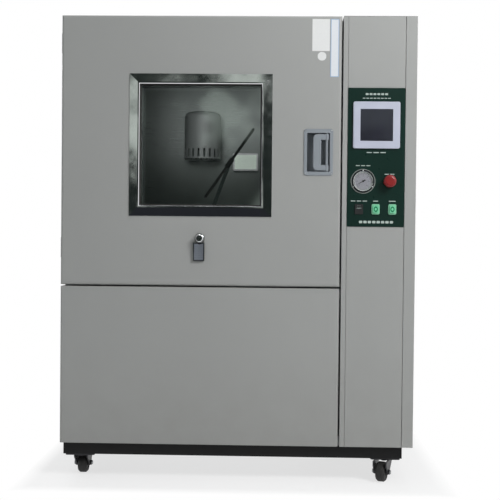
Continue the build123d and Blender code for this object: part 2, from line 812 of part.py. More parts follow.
def make_blower_motor():
    z1 = stand_top - 4
    motor = rod_z(z1 - motor_height, z1 - 8, space_x, space_y, motor_radius)
    motor += rod_z(z1 - 8, z1, space_x, space_y, motor_radius + 12)
    motor -= rod_z(z1 - motor_height + 19, z1 + 1, space_x, space_y, shaft_radius + run_gap)
    motor += block(space_x + motor_radius - 6, space_x + motor_radius + 26, space_y - 25, space_y + 25,
                   z1 - motor_height + 10, z1 - 20)
    return motor


def make_riser_duct():
    """A square duct from the blower's outlet up behind the liner to the cowl."""
    def run(grow, stretch):
        z0 = scroll_bottom + sheet - grow
        z1 = scroll_top - sheet + grow
        y0 = riser_y - 40 - stretch
        y1 = riser_back - sheet + grow
        x0 = riser_left + sheet - grow
        x1 = riser_right - sheet + grow
        low = block(x0, x1, y0, y1, z0, z1)
        tall = block(x0, x1, riser_y + sheet - grow, y1, z0, riser_top - sheet + grow)
        head_z0 = riser_top - riser_depth + sheet - grow
        head = block(x0, cowl_x + riser_overlap - sheet + grow, riser_y + sheet - grow, y1, head_z0, riser_top - sheet + grow)
        half = cowl_stub_width / 2
        stub = block(cowl_x - half - grow, cowl_x + half + grow, liner_back + sheet - stretch, riser_y + 5, head_z0,
                     riser_top - sheet + grow)
        return low + tall + head + stub

    return run(sheet, 0) - run(0, 1)


def make_hopper_vibrator():
    """A small vibrator motor on a plate on the hopper's right wall."""
    fall = hopper_height - hopper_neck
    spread = space_width / 2 - hopper_margin - throat / 2
    length = hypot(fall, spread)
    normal = (fall / length, 0, -spread / length)
    middle_z = throat_bottom + hopper_neck + fall / 2
    middle_x = space_x + throat / 2 + spread / 2 + sheet
    local = Plane(origin=(middle_x, space_y, middle_z), x_dir=(0, 1, 0), z_dir=normal)
    body = Pos(0, 0, 3.2) * Box(130, 90, 6)
    body += Pos(0, 0, 26) * Box(60, 40, 42)
    body += Pos(0, 0, 52) * Rot(0, 90, 0) * Cylinder(34, 96)
    body += Pos(0, 0, 52) * Rot(0, 90, 0) * Cylinder(29, 130)
    return local * body


def make_vacuum_pump():
    """The pump that draws air through a specimen, with its motor and filter."""
    x0 = frame_left + 60
    y0 = frame_front + 90
    z0 = floor_top
    pump = block(x0, x0 + 230, y0, y0 + 130, z0, z0 + 6)
    pump += rod_x(x0 + 90, x0 + 225, y0 + 65, z0 + 62, 48)
    pump += block(x0 + 8, x0 + 92, y0 + 15, y0 + 115, z0 + 5, z0 + 120)
    pump += block(x0 + 120, x0 + 190, y0 + 35, y0 + 95, z0 + 5, z0 + 40)
    pump += rod_z(z0 + 115, z0 + 210, x0 + 50, y0 + 65, 34)
    pump += rod_z(z0 + 209, z0 + 222, x0 + 50, y0 + 65, 12)
    return pump


# Door

def make_door_shell():
    """The outer shell: a pan with rounded front edges, open at the back."""
    shell = block(left, door_right, front, door_back, door_bottom, roof)
    shell = fillet(shell.faces().sort_by(Axis.Y)[0].edges(), edge_radius)
    shell -= block(left + sheet, door_right - sheet, front + edge_radius, door_back + 1, door_bottom + sheet,
                   roof - sheet)
    shell -= block(left + edge_radius, door_right - edge_radius, front + sheet, door_back, door_bottom + edge_radius,
                   roof - edge_radius)
    gap = glass_gap
    shell -= block(glass_left - gap, glass_right + gap, front - 1, front + 5, glass_bottom - gap, glass_top + gap)
    cup_w = recess_width + 2 * recess_wall + 1
    cup_h = recess_height + 2 * recess_wall + 1
    shell -= front_plate(handle_x, handle_z, cup_w, cup_h, 6, front - 1, front + 5)
    shell -= rod_y(front - 1, front + 5, window_x, wiper_z, wiper_bush_radius + seat_gap)
    shell -= block(door_right - 3, door_right + 1, bolt_y - bolt_width / 2 - 1, bolt_y + bolt_width / 2 + 1,
                   handle_z - bolt_height / 2 - 1, handle_z + bolt_height / 2 + 1)
    return shell


def make_door_inner_panel():
    """The inner skin, with a shallow pressed field around the window."""
    gap = sheet + seat_gap
    panel = block(left + gap, door_right - gap, inner_face - inner_panel_sheet, inner_face, door_bottom + gap,
                  roof - gap)
    panel += ring_y(left + gap + 12, door_right - gap - 12, door_bottom + gap + 12, roof - gap - 12, 12,
                    inner_face - 14, inner_face)
    panel -= block(glass_left - glass_gap, glass_right + glass_gap, inner_face - 3, inner_face + 1,
                   glass_bottom - glass_gap, glass_top + glass_gap)
    return panel - rod_y(inner_face - 3, inner_face + 1, window_x, wiper_z, wiper_bush_radius + seat_gap)


def make_door_gasket():
    gap = gasket_margin + sheet
    ring = ring_y(liner_left - gap, liner_right + gap, liner_floor - gap, liner_top + gap, gasket_width,
                  inner_face, ring_front - seat_gap)
    lip = ring_y(liner_left - gap + 6, liner_right + gap - 6, liner_floor - gap + 6, liner_top + gap - 6, 4,
                 inner_face - 1, inner_face + 4)
    return ring - lip.translate((0, 6, 0))


def make_window_frame():
    """A mitred stainless surround whose face slopes down to its outer edge."""
    y0 = front - window_frame_height
    foot = 2.5
    flat = 6
    plane = Plane(origin=(window_x, front, window_z), x_dir=(1, 0, 0), z_dir=(0, -1, 0))
    frame = extrude(plane * Rectangle(window_width, window_height), amount=foot)
    narrow = 2 * (window_frame_width - flat)
    low = plane.offset(foot) * Rectangle(window_width, window_height)
    high = plane.offset(window_frame_height) * Rectangle(window_width - narrow, window_height - narrow)
    frame += loft([low, high])
    opening = 2 * window_frame_width
    frame -= Pos(window_x, front - window_frame_height / 2, window_z) * Box(
        window_width - opening, 3 * window_frame_height, window_height - opening)
    inner = frame.edges().filter_by(GeomType.LINE).group_by(Axis.Y)[0]
    keep = [e for e in inner if e.length < window_width - opening + 1]
    return chamfer(keep, 2) if y0 < front and len(keep) == 4 else frame


def make_window_panes():
    y0 = front + seat_gap
    y1 = inner_face - seat_gap
    outer = block(glass_left, glass_right, y0, y0 + glass, glass_bottom, glass_top)
    inner = block(glass_left, glass_right, y1 - glass, y1, glass_bottom, glass_top)
    return group(outer, inner)


def make_window_inner_frame():
    """The spacer between the panes, and the retaining frame on the inner skin."""
    y0 = front + 2 * seat_gap + glass
    y1 = inner_face - 2 * seat_gap - glass
    lap = spacer_wall - glass_gap
    spacer = ring_y(glass_left + lap, glass_right - lap, glass_bottom + lap, glass_top - lap, spacer_wall, y0, y1)
    hole = glass_lap + glass_gap
    retainer = ring_y(glass_left + hole, glass_right - hole, glass_bottom + hole, glass_top - hole, retainer_width,
                      inner_face, inner_face + retainer_height)
    return group(spacer, retainer)


def make_wiper_bush():
    """A flanged tube through the door, with its nut on the inside."""
    bush = rod_y(front - 2, inner_face + 3, window_x, wiper_z, wiper_bush_radius)
    bush += rod_y(front - 3, front, window_x, wiper_z, wiper_bush_radius + 5)
    nut = Plane(origin=(window_x, inner_face, wiper_z), x_dir=(1, 0, 0), z_dir=(0, 1, 0))
    bush += extrude(nut * RegularPolygon(wiper_bush_radius + 5, 6), amount=5)
    return bush - rod_y(front - 10, inner_face + 10, window_x, wiper_z, wiper_spindle_radius + run_gap)


def wiper_plane_y():
    """The near face of the wiper's arm, clear of the retaining frame."""
    return inner_face + 11


def make_wiper_knob():
    y0 = front - 3 - seat_gap - wiper_knob_height
    knob = rod_y(y0, y0 + wiper_knob_height, window_x, wiper_z, wiper_knob_radius)
    knob = chamfer(knob.edges().group_by(Axis.Y)[0], 2)
    knob += rod_y(y0 + 1, wiper_plane_y() + 5, window_x, wiper_z, wiper_spindle_radius)
    return knob


def make_wiper_arm():
    y0 = wiper_plane_y()
    boss = rod_y(inner_face + 5 + seat_gap, y0 + 4, window_x, wiper_z, 11)
    bar = Pos(0, y0 + 1.5, wiper_arm_length / 2) * Box(wiper_arm_width, 3, wiper_arm_length)
    tip = rod_y(y0, y0 + 3, 0, wiper_arm_length, wiper_arm_width / 2 + 1)
    arm = boss + Pos(window_x, 0, wiper_z) * Rot(0, wiper_rest_angle, 0) * (bar + tip)
    return arm - rod_y(y0 - 20, y0 + 20, window_x, wiper_z, wiper_spindle_radius)


def make_wiper_blade():
    y0 = inner_face
    y1 = wiper_plane_y()
    tip_x = window_x + wiper_arm_length * sin(radians(wiper_rest_angle))
    tip_z = wiper_z + wiper_arm_length * cos(radians(wiper_rest_angle))
    lip = Pos(0, (y0 + y0 + 6) / 2, 0) * Box(wiper_blade_width / 2, 6, wiper_blade_length)
    holder = Pos(0, (y0 + 5 + y1) / 2, 0) * Box(wiper_blade_width + 3, y1 - y0 - 5, wiper_blade_length - 6)
    clip = Pos(0, (y0 + 6 + y1) / 2, 0) * Box(wiper_arm_width + 4, y1 - y0 - 6, 34)
    return Pos(tip_x, 0, tip_z) * Rot(0, wiper_blade_angle, 0) * (lip + holder + clip)


def make_handle_housing():
    """The bezel and cup of the recessed handle, and the latch case beside it."""
    y0 = front - handle_bezel
    y1 = front + recess_depth
    housing = front_plate(handle_x, handle_z, handle_width, handle_height, 8, y0, front)
    housing = chamfer(housing.edges().group_by(Axis.Y)[0], 1)
    housing += front_plate(handle_x, handle_z, recess_width + 2 * recess_wall, recess_height + 2 * recess_wall, 5,
                           front - 1, y1)
    housing -= front_plate(handle_x, handle_z, recess_width, recess_height, 4, y0 - 1, y1 - recess_wall)
    housing -= rod_z(handle_z - recess_height, handle_z + recess_height, lever_pivot_x, lever_y,
                     lever_pin_radius + run_gap)
    for x in (-1, 1):
        for z in (-1, 1):
            housing -= rod_y(y0 - 1, front + 1, handle_x + x * (handle_width / 2 - 5),
                             handle_z + z * (handle_height / 2 - 6), 2)
    x0 = handle_x + recess_width / 2 + recess_wall
    case = block(x0, door_right - sheet - seat_gap, bolt_y - bolt_width / 2 - latch_wall,
                 bolt_y + bolt_width / 2 + latch_wall, handle_z - bolt_height / 2 - latch_wall,
                 handle_z + bolt_height / 2 + latch_wall)
    case -= block(x0 - 1, door_right, bolt_y - bolt_width / 2 - seat_gap, bolt_y + bolt_width / 2 + seat_gap,
                  handle_z - bolt_height / 2 - seat_gap, handle_z + bolt_height / 2 + seat_gap)
    return group(housing, case)


def make_handle_lever():
    """A D-shaped pull: a grip bar on the left, two arms to the pin on the right."""
    y0 = lever_y - lever_thickness / 2
    y1 = lever_y + lever_thickness / 2
    middle_x = (lever_left + lever_pivot_x) / 2
    middle_z = (lever_bottom + lever_top) / 2
    width = lever_pivot_x - lever_left
    height = lever_top - lever_bottom
    lever = Pos(middle_x, lever_y, middle_z) * Box(width, lever_thickness, height)
    corners = lever.edges().filter_by(Axis.Y).group_by(Axis.X)[0]
    lever = fillet(corners, 14)
    lever += rod_z(lever_bottom, lever_top, lever_pivot_x, lever_y, lever_pivot_radius)
    hole_width = width - lever_bar + lever_pivot_radius + 1
    hole_x = lever_left + lever_bar + hole_width / 2
    lever -= Pos(hole_x, lever_y, middle_z) * Box(hole_width, 3 * lever_thickness, height - 2 * lever_arm)
    lever -= Pos(lever_left + lever_bar / 2, y1 + 1, middle_z) * Box(lever_bar - 9, 8, height - 30)
    front_edges = [e for e in lever.edges().filter_by(Axis.Z).group_by(Axis.Y)[0] if e.length > height / 2]
    lever = fillet(front_edges, 3) if y0 < y1 and front_edges else lever
    end = lever_end_gap + recess_wall
    lever += rod_z(lever_bottom - end, lever_top + end, lever_pivot_x, lever_y, lever_pin_radius)
    return lever


def make_latch_bolt():
    tip = door_right + bolt_reach
    bolt = block(tip - bolt_length, tip, bolt_y - bolt_width / 2, bolt_y + bolt_width / 2,
                 handle_z - bolt_height / 2, handle_z + bolt_height / 2)
    return chamfer(bolt.edges().filter_by(Axis.Z).group_by(Axis.X)[-1], 2)


def hinge_part(z, side):
    """One leaf of a block hinge with its knuckles: side -1 is the door's, side 1 the cabinet's."""
    z0 = z - hinge_length / 2
    third = hinge_length / 3
    near = hinge_barrel_radius + 1
    y_near = hinge_y + side * near
    y_far = hinge_y + side * (near + hinge_leaf_length)
    leaf = block(left - hinge_leaf, left, min(y_near, y_far), max(y_near, y_far), z0, z0 + hinge_length)
    spans = [(z0 + third + knuckle_gap, z0 + 2 * third - knuckle_gap)]
    if side > 0:
        spans = [(z0, z0 + third), (z0 + 2 * third, z0 + hinge_length)]
    for low, high in spans:
        leaf += rod_z(low, high, hinge_x, hinge_y, hinge_barrel_radius)
        leaf += block(left - hinge_leaf, left - seat_gap, min(hinge_y, y_near + side), max(hinge_y, y_near + side),
                      low, high)
    for y in (0.3, 0.75):
        for height in (0.22, 0.78):
            leaf -= rod_x(left - hinge_leaf - 1, left - hinge_leaf + 2, y_near + (y_far - y_near) * y,
                          z0 + hinge_length * height, 3.4)
    return leaf


def make_hinge_door_leaves():
    leaves = [hinge_part(z, -1) - rod_z(z - hinge_length, z + hinge_length, hinge_x, hinge_y,
                                        hinge_pin_radius + run_gap) for z in hinge_heights]
    return group(*leaves)


def make_hinge_frame_leaves():
    leaves = [hinge_part(z, 1) + rod_z(z - hinge_length / 2, z + hinge_length / 2, hinge_x, hinge_y,
                                       hinge_pin_radius) for z in hinge_heights]
    return group(*leaves)


# Controls

def make_control_plate():
    plate = front_plate(panel_x, plate_top - plate_height / 2, plate_width, plate_height, 3, device_front, front)
    return plate - device_holes(device_front - 1, front + 1, 0.5)


def make_controller_case():
    """The touch-screen controller: its bezel outside the plate, its case behind."""
    x = device_x(0)
    z = device_z(screen_drop)
    case = controller_case
    body = front_plate(x, z, screen_bezel, screen_bezel, 6, device_front - 8, device_front)
    body = chamfer(body.edges().group_by(Axis.Y)[0], 1.5)
    body -= front_plate(x, z, screen_width, screen_height, 2, device_front - 9, device_front - 6)
    body += Pos(x, device_front + controller_depth / 2 - 1, z) * Box(case, controller_depth + 2, case)
    return body


def make_control_windows():
    """The controller's screen and the gauge's glass."""
    screen = front_plate(device_x(0), device_z(screen_drop), screen_width - 2 * seat_gap,
                         screen_height - 2 * seat_gap, 2, device_front - 7.2, device_front - 6)
    y0 = device_front - gauge_height + 0.6
    lens = rod_y(y0, y0 + 1.2, device_x(gauge_x), device_z(gauge_drop), gauge_radius - 3 - seat_gap / 3)
    return group(screen, lens)


def make_gauge_case():
    """A round pressure gauge: a flange with three screws, a bezel, a dial and the case behind."""
    x = device_x(gauge_x)
    z = device_z(gauge_drop)
    case = rod_y(device_front - 2, device_front, x, z, gauge_flange_radius)
    case += rod_y(device_front - gauge_height, device_front, x, z, gauge_radius)
    case = chamfer(case.edges().filter_by(GeomType.CIRCLE).group_by(Axis.Y)[0], 1)
    case -= rod_y(device_front - gauge_height - 1, device_front - 3, x, z, gauge_radius - 3)
    case += rod_y(device_front - 3.5, device_front + 34, x, z, gauge_radius - 2)
    case -= rod_y(device_front - 4, device_front + 4, x, z, 1 + run_gap)
    for turn in (90, 210, 330):
        reach = (gauge_radius + gauge_flange_radius) / 2
        screw_x = x + reach * cos(radians(turn))
        screw_z = z + reach * sin(radians(turn))
        case -= rod_y(device_front - 3, device_front - 1, screw_x, screw_z, 2.2)
    return case


def make_gauge_needle():
    x = device_x(gauge_x)
    z = device_z(gauge_drop)
    y0 = device_front - gauge_height + 2.6
    needle = rod_y(y0, y0 + 1.4, x, z, 3)
    outline = Polyline((0, 1.2), (needle_length, 0.35), (needle_length, -0.35), (0, -1.2), (-8, -2.2), (-8, 2.2),
                       close=True)
    blade = Plane(origin=(x, y0 + 1.1, z), x_dir=(1, 0, 0), z_dir=(0, -1, 0)) * Rot(0, 0, 210) * make_face(outline)
    needle += extrude(blade, amount=0.8)
    needle += rod_y(y0 + 0.5, device_front, x, z, 1)
    return needle


def make_switch_bodies():
    """The collar of the emergency stop and the bezels of the two push buttons, with their backs."""
    x = device_x(stop_x)
    z = device_z(gauge_drop)
    stop = rod_y(device_front - 8, device_front, x, z, stop_base_radius)
    stop += rod_y(device_front - 1, device_front + switch_depth, x, z, stop_base_radius - 4)
    stop -= rod_y(device_front - 9, device_front + 8, x, z, 8 + run_gap)
    bodies = [stop]
    for offset in (0, power_x):
        x = device_x(offset)
        z = device_z(button_drop)
        body = front_plate(x, z, button_width, button_height, 5, device_front - 4, device_front)
        body = chamfer(body.edges().group_by(Axis.Y)[0], 1)
        body += front_plate(x, z, button_width - button_step, button_height - 4, 3, device_front - 1,
                            device_front + switch_depth)
        body -= front_plate(x, z, button_width - 8, button_height - 9, 3, device_front - 5, device_front - 2)
        body -= front_plate(x, z, button_width - button_step - 4, button_height - 9, 3, device_front - 5,
                            device_front + 10)
        bodies.append(body)
    return group(*bodies)


def make_stop_button():
    """A mushroom head on its stem."""
    x = device_x(stop_x)
    z = device_z(gauge_drop)
    y0 = device_front - 8 - stop_travel - 1
    head = rod_y(y0 - 16, y0, x, z, stop_radius)
    head = fillet(head.edges().group_by(Axis.Y)[0], 9)
    return head + rod_y(y0 - 1, device_front + 2, x, z, 8)


def make_push_button(offset):
    x = device_x(offset)
    z = device_z(button_drop)
    gap = 0.6
    button = front_plate(x, z, button_width - 8 - gap, button_height - 9 - gap, 2.7, device_front - 8,
                         device_front - 2 - button_travel - seat_gap)
    button = chamfer(button.edges().group_by(Axis.Y)[0], 1)
    stem = front_plate(x, z, button_width - button_step - 4 - gap, button_height - 9 - gap, 2.7,
                       device_front - 6, device_front + 10 - button_travel - 1)
    return button + stem


def make_timer_case():
    x = device_x(timer_x)
    z = device_z(button_drop)
    case = front_plate(x, z, timer_width, timer_height, 2, device_front - 3, device_front)
    case -= front_plate(x, z + 3, timer_width - 8, timer_height - 16, 1, device_front - 4, device_front - 1.5)
    case += front_plate(x, z, timer_width - 4, timer_height - 4, 1, device_front - 1, device_front + switch_depth)
    return case


save(make_base_frame(), "base_frame")
save(make_caster_plates(), "caster_plates")
for corner in caster_turns:
    braked_corner = corner[0] == "r"
    save(place_caster(make_fork(braked_corner), corner), f"caster_fork_{corner}")
    save(place_caster(make_wheel(), corner), f"caster_wheel_{corner}")
    if braked_corner:
        save(place_caster(make_brake(), corner), f"caster_brake_{corner}")

save(make_cabinet_frame(), "cabinet_frame")
save(make_left_side_panel(), "left_side_panel")
save(make_right_side_panel(), "right_side_panel")
save(make_top_panel(), "top_panel")
save(make_rear_panel(), "rear_panel")
save(make_lower_front_panel(), "lower_front_panel")
save(make_column_post_cover(), "column_post_cover")
save(make_column_front_panel(), "column_front_panel")
save(make_opening_collar(), "opening_collar")
save(make_insulation(), "insulation")
save(make_inner_plates(), "inner_plates")
save(make_mains_gland(), "mains_gland")

save(make_test_space_liner(), "test_space_liner")
save(make_dust_hopper(), "dust_hopper")
save(make_specimen_shelf(), "specimen_shelf")
save(make_air_outlet_cowl(), "air_outlet_cowl")
save(make_chamber_fittings(), "chamber_fittings")
save(make_blower_housing(), "blower_housing")
save(make_blower_impeller(), "blower_impeller")
save(make_blower_motor(), "blower_motor")
save(make_riser_duct(), "riser_duct")
save(make_hopper_vibrator(), "hopper_vibrator")
save(make_vacuum_pump(), "vacuum_pump")

save(make_door_shell(), "door_shell")
save(make_door_inner_panel(), "door_inner_panel")
save(make_door_gasket(), "door_gasket")
save(make_window_frame(), "window_frame")
save(make_window_panes(), "window_panes")
save(make_window_inner_frame(), "window_inner_frame")
save(make_wiper_bush(), "wiper_bush")
save(make_wiper_knob(), "wiper_knob")
save(make_wiper_arm(), "wiper_arm")
save(make_wiper_blade(), "wiper_blade")
save(make_handle_housing(), "handle_housing")
save(make_handle_lever(), "handle_lever")
save(make_latch_bolt(), "latch_bolt")
save(make_hinge_door_leaves(), "hinge_door_leaves")
save(make_hinge_frame_leaves(), "hinge_frame_leaves")

save(make_control_plate(), "control_plate")
save(make_controller_case(), "controller_case")
save(make_control_windows(), "control_windows")
save(make_gauge_case(), "gauge_case")
save(make_gauge_needle(), "gauge_needle")
save(make_switch_bodies(), "switch_bodies")
save(make_stop_button(), "stop_button")
save(make_push_button(0), "light_button")
save(make_push_button(power_x), "power_button")
save(make_timer_case(), "timer_case")
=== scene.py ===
# %% [markdown]
# A sand and dust test chamber is a tall sheet-metal cabinet on casters. Its door has a framed window with
# a hand wiper, and a column at the right carries the controls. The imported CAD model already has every
# panel, hinge, duct and caster, so this lesson gives each of them a finish and adds what is too small or
# too thin for the CAD model: stickers, captions, screws, dial marks, a seal bead and the card that hangs
# on the wiper's knob.

import bpy
import bmesh
from math import cos, pi, radians, sin
from mathutils import Matrix, Vector
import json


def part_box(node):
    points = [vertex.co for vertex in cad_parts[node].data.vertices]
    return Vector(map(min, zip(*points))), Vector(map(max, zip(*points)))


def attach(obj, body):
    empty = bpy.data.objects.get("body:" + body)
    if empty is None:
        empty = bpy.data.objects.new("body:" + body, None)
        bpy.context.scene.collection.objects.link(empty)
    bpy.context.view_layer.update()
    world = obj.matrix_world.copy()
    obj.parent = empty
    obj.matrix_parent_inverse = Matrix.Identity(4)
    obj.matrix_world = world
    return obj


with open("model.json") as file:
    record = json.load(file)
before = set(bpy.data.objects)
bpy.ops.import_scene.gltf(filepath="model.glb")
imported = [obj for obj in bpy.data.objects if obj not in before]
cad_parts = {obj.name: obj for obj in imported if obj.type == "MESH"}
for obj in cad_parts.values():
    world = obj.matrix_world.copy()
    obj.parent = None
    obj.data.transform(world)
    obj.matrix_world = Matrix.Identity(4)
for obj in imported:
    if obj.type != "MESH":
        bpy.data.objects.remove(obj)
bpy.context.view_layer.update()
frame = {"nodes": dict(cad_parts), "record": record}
mm = 0.001

# %% [markdown]
# The camera stands three metres in front of the cabinet, at half its height. A long lens keeps the sides
# out of sight, as in a catalogue picture. Its place and turn were solved once from corners of the
# cabinet, and are given here as plain numbers: a yaw, a pitch and a slight roll.

# %% Camera
scene = bpy.context.scene
scene.view_settings.view_transform = "Standard"
camera_data = bpy.data.cameras.new("camera")
camera = bpy.data.objects.new("camera", camera_data)
scene.collection.objects.link(camera)
scene.camera = camera
picture_width = 500
focal_pixels = 934.7
camera_data.sensor_width = 36
camera_data.lens = focal_pixels / picture_width * camera_data.sensor_width
camera_place = Vector((0.1196, -3.55, 0.7968))
yaw, pitch, roll = radians(1.484), radians(-0.936), radians(0.56)
camera.matrix_world = (
    Matrix.Translation(camera_place)
    @ Matrix.Rotation(yaw, 4, "Z")
    @ Matrix.Rotation(pi / 2 + pitch, 4, "X")
    @ Matrix.Rotation(roll, 4, "Z")
)
print("lens", round(camera_data.lens, 1), "mm")

# %% [markdown]
# Shader maths reads best as an expression. A `Wire` stands for one output socket, and its operators add
# Math nodes. A `Finish` is a material while it is being made: `node` adds any other node from its type,
# its settings and the values or wires of its sockets.

# %% Shader helpers
def as_linear(*rgb):
    """A colour from screen values of 0 to 255 to the linear values that a shader expects."""
    steps = [value / 255 for value in rgb]
    return tuple(s / 12.92 if s <= 0.04045 else ((s + 0.055) / 1.055) ** 2.4 for s in steps) + (1.0,)


class Wire:
    """An output socket whose operators add Math nodes."""

    def __init__(self, finish, socket):
        self.finish = finish
        self.socket = socket

    def maths(self, operation, *values):
        return self.finish.node("ShaderNodeMath", {"operation": operation}, dict(enumerate(values)))

    def __add__(self, other):
        return self.maths("ADD", self, other)

    def __sub__(self, other):
        return self.maths("SUBTRACT", self, other)

    def __rsub__(self, other):
        return self.maths("SUBTRACT", other, self)

    def __mul__(self, other):
        return self.maths("MULTIPLY", self, other)

    def __truediv__(self, other):
        return self.maths("DIVIDE", self, other)

    def __gt__(self, other):
        return self.maths("GREATER_THAN", self, other)

    def __lt__(self, other):
        return self.maths("LESS_THAN", self, other)

    __radd__ = __add__
    __rmul__ = __mul__

    def root(self):
        return self.maths("SQRT", self)

    def size(self):
        return self.maths("ABSOLUTE", self)

    def power(self, exponent):
        return self.maths("POWER", self, exponent)

    def at_most(self, other):
        return self.maths("MINIMUM", self, other)

    def at_least(self, other):
        return self.maths("MAXIMUM", self, other)


class Finish:
    """A material with a principled shader and the nodes that feed it."""

    def __init__(self, name, color, roughness, metallic=0.0, **even):
        self.material = bpy.data.materials.new(name)
        self.material.use_nodes = True
        self.tree = self.material.node_tree
        self.shader = self.tree.nodes["Principled BSDF"]
        self.place = self.node("ShaderNodeTexCoord", output="Object")
        self.feed("Base Color", color)
        self.feed("Roughness", roughness)
        self.feed("Metallic", metallic)
        for socket, value in even.items():
            self.feed(socket.replace("_", " "), value)

    def node(self, kind, settings=None, values=None, output=0):
        made = self.tree.nodes.new(kind)
        for name, value in (settings or {}).items():
            if name == "stops":
                while len(made.color_ramp.elements) < len(value):
                    made.color_ramp.elements.new(0.5)
                for element, (position, color) in zip(made.color_ramp.elements, value):
                    element.position, element.color = position, color
            else:
                setattr(made, name, value)
        for name, value in (values or {}).items():
            self.join(self.pick(made.inputs, name), value)
        return Wire(self, self.pick(made.outputs, output))

    def pick(self, sockets, name):
        if isinstance(name, int):
            return sockets[name]
        for socket in sockets:
            if socket.identifier == name or (socket.name == name and socket.enabled):
                return socket
        return sockets[name]

    def join(self, socket, value):
        if isinstance(value, Wire):
            self.tree.links.new(value.socket, socket)
        else:
            socket.default_value = value

    def feed(self, name, value):
        self.join(self.shader.inputs[name], value)
        return self

    def axes(self):
        made = self.node("ShaderNodeSeparateXYZ", values={0: self.place}, output="X")
        outputs = made.socket.node.outputs
        return made, Wire(self, outputs["Y"]), Wire(self, outputs["Z"])

    def stretched(self, x, y, z, turn=(0, 0, 0)):
        settings = {"Vector": self.place, "Scale": (x, y, z), "Rotation": turn}
        return self.node("ShaderNodeMapping", values=settings)

    def noise(self, scale, detail=2.0, rough=0.5, vector=None):
        values = {"Vector": vector or self.place, "Scale": scale, "Detail": detail, "Roughness": rough}
        return self.node("ShaderNodeTexNoise", values=values, output="Fac")

    def cells(self, scale, vector=None, output="Distance"):
        values = {"Vector": vector or self.place, "Scale": scale}
        return self.node("ShaderNodeTexVoronoi", values=values, output=output)

    def ramp(self, factor, *stops):
        return self.node("ShaderNodeValToRGB", {"stops": stops}, {"Fac": factor})

    def blend(self, factor, first, second):
        values = {"Factor_Float": factor, "A_Color": first, "B_Color": second}
        return self.node("ShaderNodeMix", {"data_type": "RGBA"}, values, output="Result_Color")

    def bump(self, height, strength, depth):
        values = {"Height": height, "Strength": strength, "Distance": depth}
        self.feed("Normal", self.node("ShaderNodeBump", values=values))
        return self


def tone(color, factor):
    """The same colour, lighter or darker."""
    return tuple(channel * factor for channel in color[:3]) + (1.0,)


print("shader helpers ready")

# %% [markdown]
# Powder coat is the cabinet's main finish. Real powder coat has a fine orange peel, a satin gloss that
# varies a little, and a faint cloudiness where the layer is thicker. Noises from broad to very fine give
# those, and a patchy warm grey makes the paint darker towards the floor.

# %% Powder-coated panels
paint_grey = as_linear(160, 161, 159)


def powder_coat(name, color, warm_grey_tint=0.0):
    finish = Finish(name, color, 0.45, Coat_Roughness=0.35, Specular_IOR_Level=0.3)
    clouds = finish.noise(2.2, 3)
    color_now = finish.blend(clouds, tone(color, 0.95), tone(color, 1.05))
    speckle = finish.noise(420, 2)
    color_now = finish.blend(speckle * 0.10, color_now, tone(color, 1.2))
    if warm_grey_tint:
        x, y, z = finish.axes()
        # Darker and warmer towards the floor, in patches.
        near_floor = (1.0 - z / 0.45).at_least(0.0) * finish.noise(14, 4) * warm_grey_tint
        color_now = finish.blend(near_floor, color_now, as_linear(120, 116, 106))
    finish.feed("Base Color", color_now)
    finish.feed("Roughness", finish.noise(60, 2) * 0.12 + 0.40)
    finish.feed("Coat Weight", finish.noise(30, 2) * 0.06)
    peel = finish.noise(520, 1) * 0.6 + finish.noise(1500, 0) * 0.4
    return finish.bump(peel, 0.22, 0.0004).material


body_paint = powder_coat("body_paint", paint_grey, warm_grey_tint=0.35)
handle_paint = powder_coat("handle_paint", as_linear(138, 144, 150))
print("powder coats:", body_paint.name, handle_paint.name)

# %% [markdown]
# The base frame is welded tube in black satin paint. Casters chip such paint and dust settles in it, so a
# broad noise lightens it in patches and a sharp one shows a few small chips.

# %% Black paint and machine paint
def tube_paint(name, color, chip_color, chip_share):
    finish = Finish(name, color, 0.5, Specular_IOR_Level=0.25)
    scuffs = finish.noise(16, 4, 0.6)
    dusty = finish.blend(scuffs * 0.5, color, tone(color, 1.7))
    chips = finish.noise(85, 3, 0.65) > 1.0 - chip_share
    finish.feed("Base Color", finish.blend(chips, dusty, chip_color))
    finish.feed("Roughness", scuffs * 0.25 + 0.38)
    return finish.bump(finish.noise(380, 2), 0.25, 0.0005).material


black_paint = tube_paint("black_paint", as_linear(17, 17, 18), as_linear(60, 58, 56), 0.22)
motor_paint = tube_paint("motor_paint", as_linear(96, 104, 112), as_linear(140, 140, 138), 0.22)
print("tube paints:", black_paint.name, motor_paint.name)

# %% [markdown]
# Stainless sheet is brushed along its length. Stretching a noise along one axis draws those lines. They
# mainly change how sharp the reflections are, so they feed the roughness and a very shallow bump. The air
# outlet's cowl is paler and duller than the rest. The test space's liner is a darker copy of the same
# steel, which is painted shade for the inside of the closed chamber. The window's surround is buffed
# almost to a mirror, and only faint long waves and a few wipe marks remain.

# %% Stainless steel
def brushed_steel(name, color, roughness, scales, metallic=1.0):
    finish = Finish(name, color, roughness, metallic)
    lines = finish.noise(1.0, 3, 0.6, vector=finish.stretched(*scales))
    stains = finish.noise(7, 3)
    finish.feed("Base Color", finish.blend(stains, tone(color, 0.86), tone(color, 1.06)))
    finish.feed("Roughness", lines * 0.16 + stains * 0.10 + (roughness - 0.13))
    return finish.bump(lines, 0.12, 0.0002).material


def mirror_steel(name, color):
    finish = Finish(name, color, 0.06, 1.0)
    marks = finish.noise(30, 4, 0.7)
    finish.feed("Base Color", finish.blend(marks, tone(color, 0.9), tone(color, 1.05)))
    finish.feed("Roughness", marks.power(3.0) * 0.22 + 0.04)
    return finish.bump(finish.noise(9, 1), 0.15, 0.004).material


